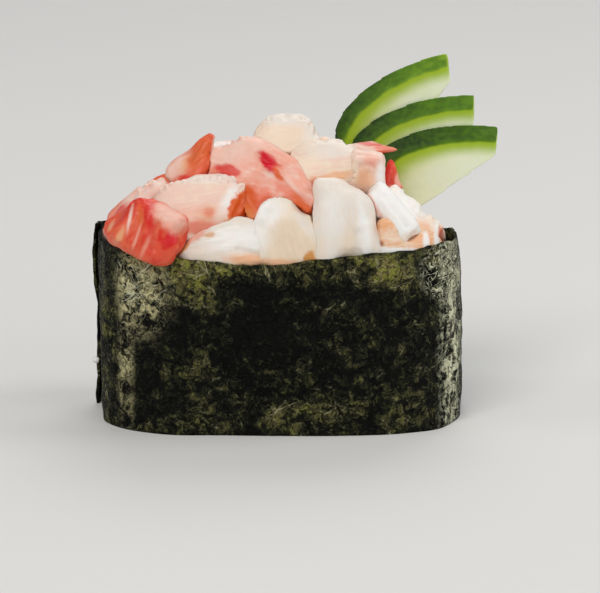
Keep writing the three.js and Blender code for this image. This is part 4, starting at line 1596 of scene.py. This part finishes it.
@dataclass
class RiceBed(SubAssembly):
    """The pressed rice: a core, and the grains of its underside and foot."""

    oval: Oval = Oval(26.6, 14.2)
    voxel: float = 0.7
    smoothing: int = 2
    seed: int = 5
    grain_size: Point = (2.75, 1.3, 1.1)
    grain_faces: tuple[int, int] = (8, 6)  # round it and along it
    tries: int = 5000  # at a place for a grain of the underside
    spacing: float = 2.35
    edge: float = 2.8
    pitch: float = 0.12
    growth: tuple[float, float] = (0.88, 1.08)
    lift: tuple[float, float] = (0.05, 0.5)
    foot_rows: tuple[float, ...] = (1.9, 4.2)
    foot_steps: int = 64
    foot_play: tuple[float, ...] = (0.3, 0.5, 0.5, 0.2)  # of a step, in height, roll and pitch
    foot_growth: float = 0.9
    sink: float = 2.4
    stray_place: Point = (-28.1, -4.6, 9.2)
    stray_turn: Point = (0, 0.3, 2.2)
    stray_size: Point = (0.75, 0.45, 0.55)
    finish: RiceFinish = RiceFinish()

    def build(self) -> None:
        """Builds the rice."""
        clay = Clay.of_node("rice_bed", "rice")
        clay.remesh(self.voxel)
        clay.smooth(self.smoothing)
        scatter = Scatter(self.model_grain(), self.seed)
        self.lay_underside(scatter)
        self.lay_foot(scatter)
        self.lay_stray(scatter)
        clay.join([scatter.joined("grains").piece])
        self.hand_over(clay.piece, ["rice_bed"], "rice", self.finish.material())

    def model_grain(self) -> bpy.types.Object:
        """Makes one grain of the size 1, lying along +X.

        Returns:
            The grain.
        """
        Clay.deselect()
        segments, rings = self.grain_faces
        bpy.ops.mesh.primitive_uv_sphere_add(
            segments=segments, ring_count=rings, radius=MM, rotation=(0, math.pi / 2, 0)
        )
        bpy.ops.object.transform_apply(rotation=True)
        return bpy.context.active_object

    def lay_underside(self, scatter: Scatter) -> None:
        """Lays grains over the underside, their lowest points just over the table.

        Args:
            scatter: the grains.
        """
        draw = scatter.random
        oval = self.oval
        centres: list[Vector] = []
        for _ in range(self.tries):
            across, back = draw.uniform(-1, 1), draw.uniform(-1, 1)
            if abs(across) ** oval.squareness + abs(back) ** oval.squareness > 1:
                continue
            x, y = across * (oval.half_length - self.edge), back * (oval.half_depth - self.edge)
            centre = Vector((x, y, 0))
            centre.x += oval.middle_x
            if all((centre - other).length > self.spacing for other in centres):
                centres.append(centre)
        for centre in centres:
            pitch = draw.uniform(-self.pitch, self.pitch)
            turn = Euler((0, pitch, draw.uniform(0, math.pi))).to_quaternion()
            sides = Vector(self.grain_size) * draw.uniform(*self.growth)
            half_height = math.hypot(sides.x * math.sin(pitch), sides.z * math.cos(pitch))
            height = half_height + draw.uniform(*self.lift)
            scatter.put(centre + Vector((0, 0, height)), turn, tuple(sides))

    def lay_foot(self, scatter: Scatter) -> None:
        """Lays rows of grains round the foot, behind the nori.

        Args:
            scatter: the grains.
        """
        draw = scatter.random
        astray, rise, roll, pitch = self.foot_play
        size = tuple(side * self.foot_growth for side in self.grain_size)
        for row in self.foot_rows:
            for step in range(self.foot_steps):
                turn = 2 * math.pi * (step + draw.uniform(-astray, astray)) / self.foot_steps
                x, y = self.oval.spot(math.cos(turn), math.sin(turn), self.sink)
                place = Vector((x + self.oval.middle_x, y, row + draw.uniform(-rise, rise)))
                lie = (draw.uniform(-roll, roll), draw.uniform(-pitch, pitch), turn + math.pi / 2)
                scatter.put(place, Euler(lie).to_quaternion(), size)

    def lay_stray(self, scatter: Scatter) -> None:
        """Puts the grain whose end peeps out beside the nori's loose end."""
        turn = Euler(self.stray_turn).to_quaternion()
        scatter.put(Vector(self.stray_place), turn, self.stray_size)


# ---------------------------------------- studio


@dataclass(frozen=True)
class Lamp:
    """A soft light that shines on the piece."""

    name: str
    place: Point
    sides: tuple[float, float]  # in metres
    power: float  # in watts
    tint: Point = (1, 1, 1)


@dataclass
class Studio:
    """A pale floor, soft lights and the camera."""

    target: Point = (3.6, 0, 18.25)
    distance: float = 450
    elevation: float = 13
    lens: float = 172.8
    clip_start: float = 0.01  # in metres
    floor_side: float = 6.0  # in metres
    floor_drop: float = 0.02
    floor_colour: Colour = linear(226, 225, 222)
    world_colour: Colour = linear(226, 227, 230)
    world_strength: float = 0.28
    lamps: tuple[Lamp, ...] = (
        Lamp("key", (-400, -1050, 1300), (0.9, 0.9), 12.8, (1, 0.975, 0.94)),
        Lamp("fill", (820, -900, 650), (0.7, 0.7), 2.2),
        Lamp("left_strip", (-640, -120, 520), (0.3, 0.5), 0.7),
        Lamp("right_strip", (640, 40, 520), (0.3, 0.5), 1.6),
        Lamp("back", (200, 950, 1050), (1.0, 0.8), 5.5),
    )

    def build(self) -> None:
        """Sets up the studio."""
        self.lay_floor()
        self.light_world()
        for lamp in self.lamps:
            self.hang(lamp)
        self.set_camera()
        bpy.context.scene.view_settings.view_transform = "Standard"

    def lay_floor(self) -> None:
        """Lays the floor just under the piece."""
        Clay.deselect()
        place = (0, 0, -self.floor_drop * MM)
        bpy.ops.mesh.primitive_plane_add(size=self.floor_side, location=place)
        floor = bpy.context.active_object
        floor.name = "floor"
        surface = Surface("floor")
        cloudy = surface.noise(surface.here, 0.02).spread() * 0.05
        tone = surface.mixed(cloudy, self.floor_colour, self.world_colour)
        floor.data.materials.append(surface.finished(Base_Color=tone, Roughness=0.75))

    def light_world(self) -> None:
        """Gives the surroundings an even pale light."""
        world = bpy.data.worlds.new("studio")
        bpy.context.scene.world = world
        world.use_nodes = True
        background = world.node_tree.nodes["Background"]
        background.inputs["Color"].default_value = self.world_colour
        background.inputs["Strength"].default_value = self.world_strength

    def hang(self, lamp: Lamp) -> None:
        """Hangs a lamp that shines on the piece.

        Args:
            lamp: the lamp.
        """
        light = bpy.data.lights.new(lamp.name, "AREA")
        light.shape = "RECTANGLE"
        light.size, light.size_y = lamp.sides
        light.energy = lamp.power
        light.color = lamp.tint
        holder = bpy.data.objects.new(lamp.name, light)
        bpy.context.scene.collection.objects.link(holder)
        place = Vector(lamp.place) * MM
        aim = (Vector(self.target) * MM - place).to_track_quat("-Z", "Y")
        holder.matrix_world = Matrix.Translation(place) @ aim.to_matrix().to_4x4()

    def set_camera(self) -> None:
        """Stands the camera in front, a little above the piece."""
        camera = bpy.data.cameras.new("camera")
        camera.lens = self.lens
        camera.clip_start = self.clip_start
        holder = bpy.data.objects.new("camera", camera)
        bpy.context.scene.collection.objects.link(holder)
        tilt = math.radians(self.elevation)
        back = Vector((0, -math.cos(tilt), math.sin(tilt))) * self.distance
        holder.location = (Vector(self.target) + back) * MM
        holder.rotation_euler = (math.pi / 2 - tilt, 0, 0)
        bpy.context.scene.camera = holder


def main() -> None:
    """Builds the studio and the dish."""
    logging.basicConfig(level=logging.INFO)
    for part in (Studio(), RiceBed(), NoriBand(), CrabHeap(), CucumberFan()):
        part.build()
        LOG.info("%s built", type(part).__name__)


if __name__ == "__main__":
    main()
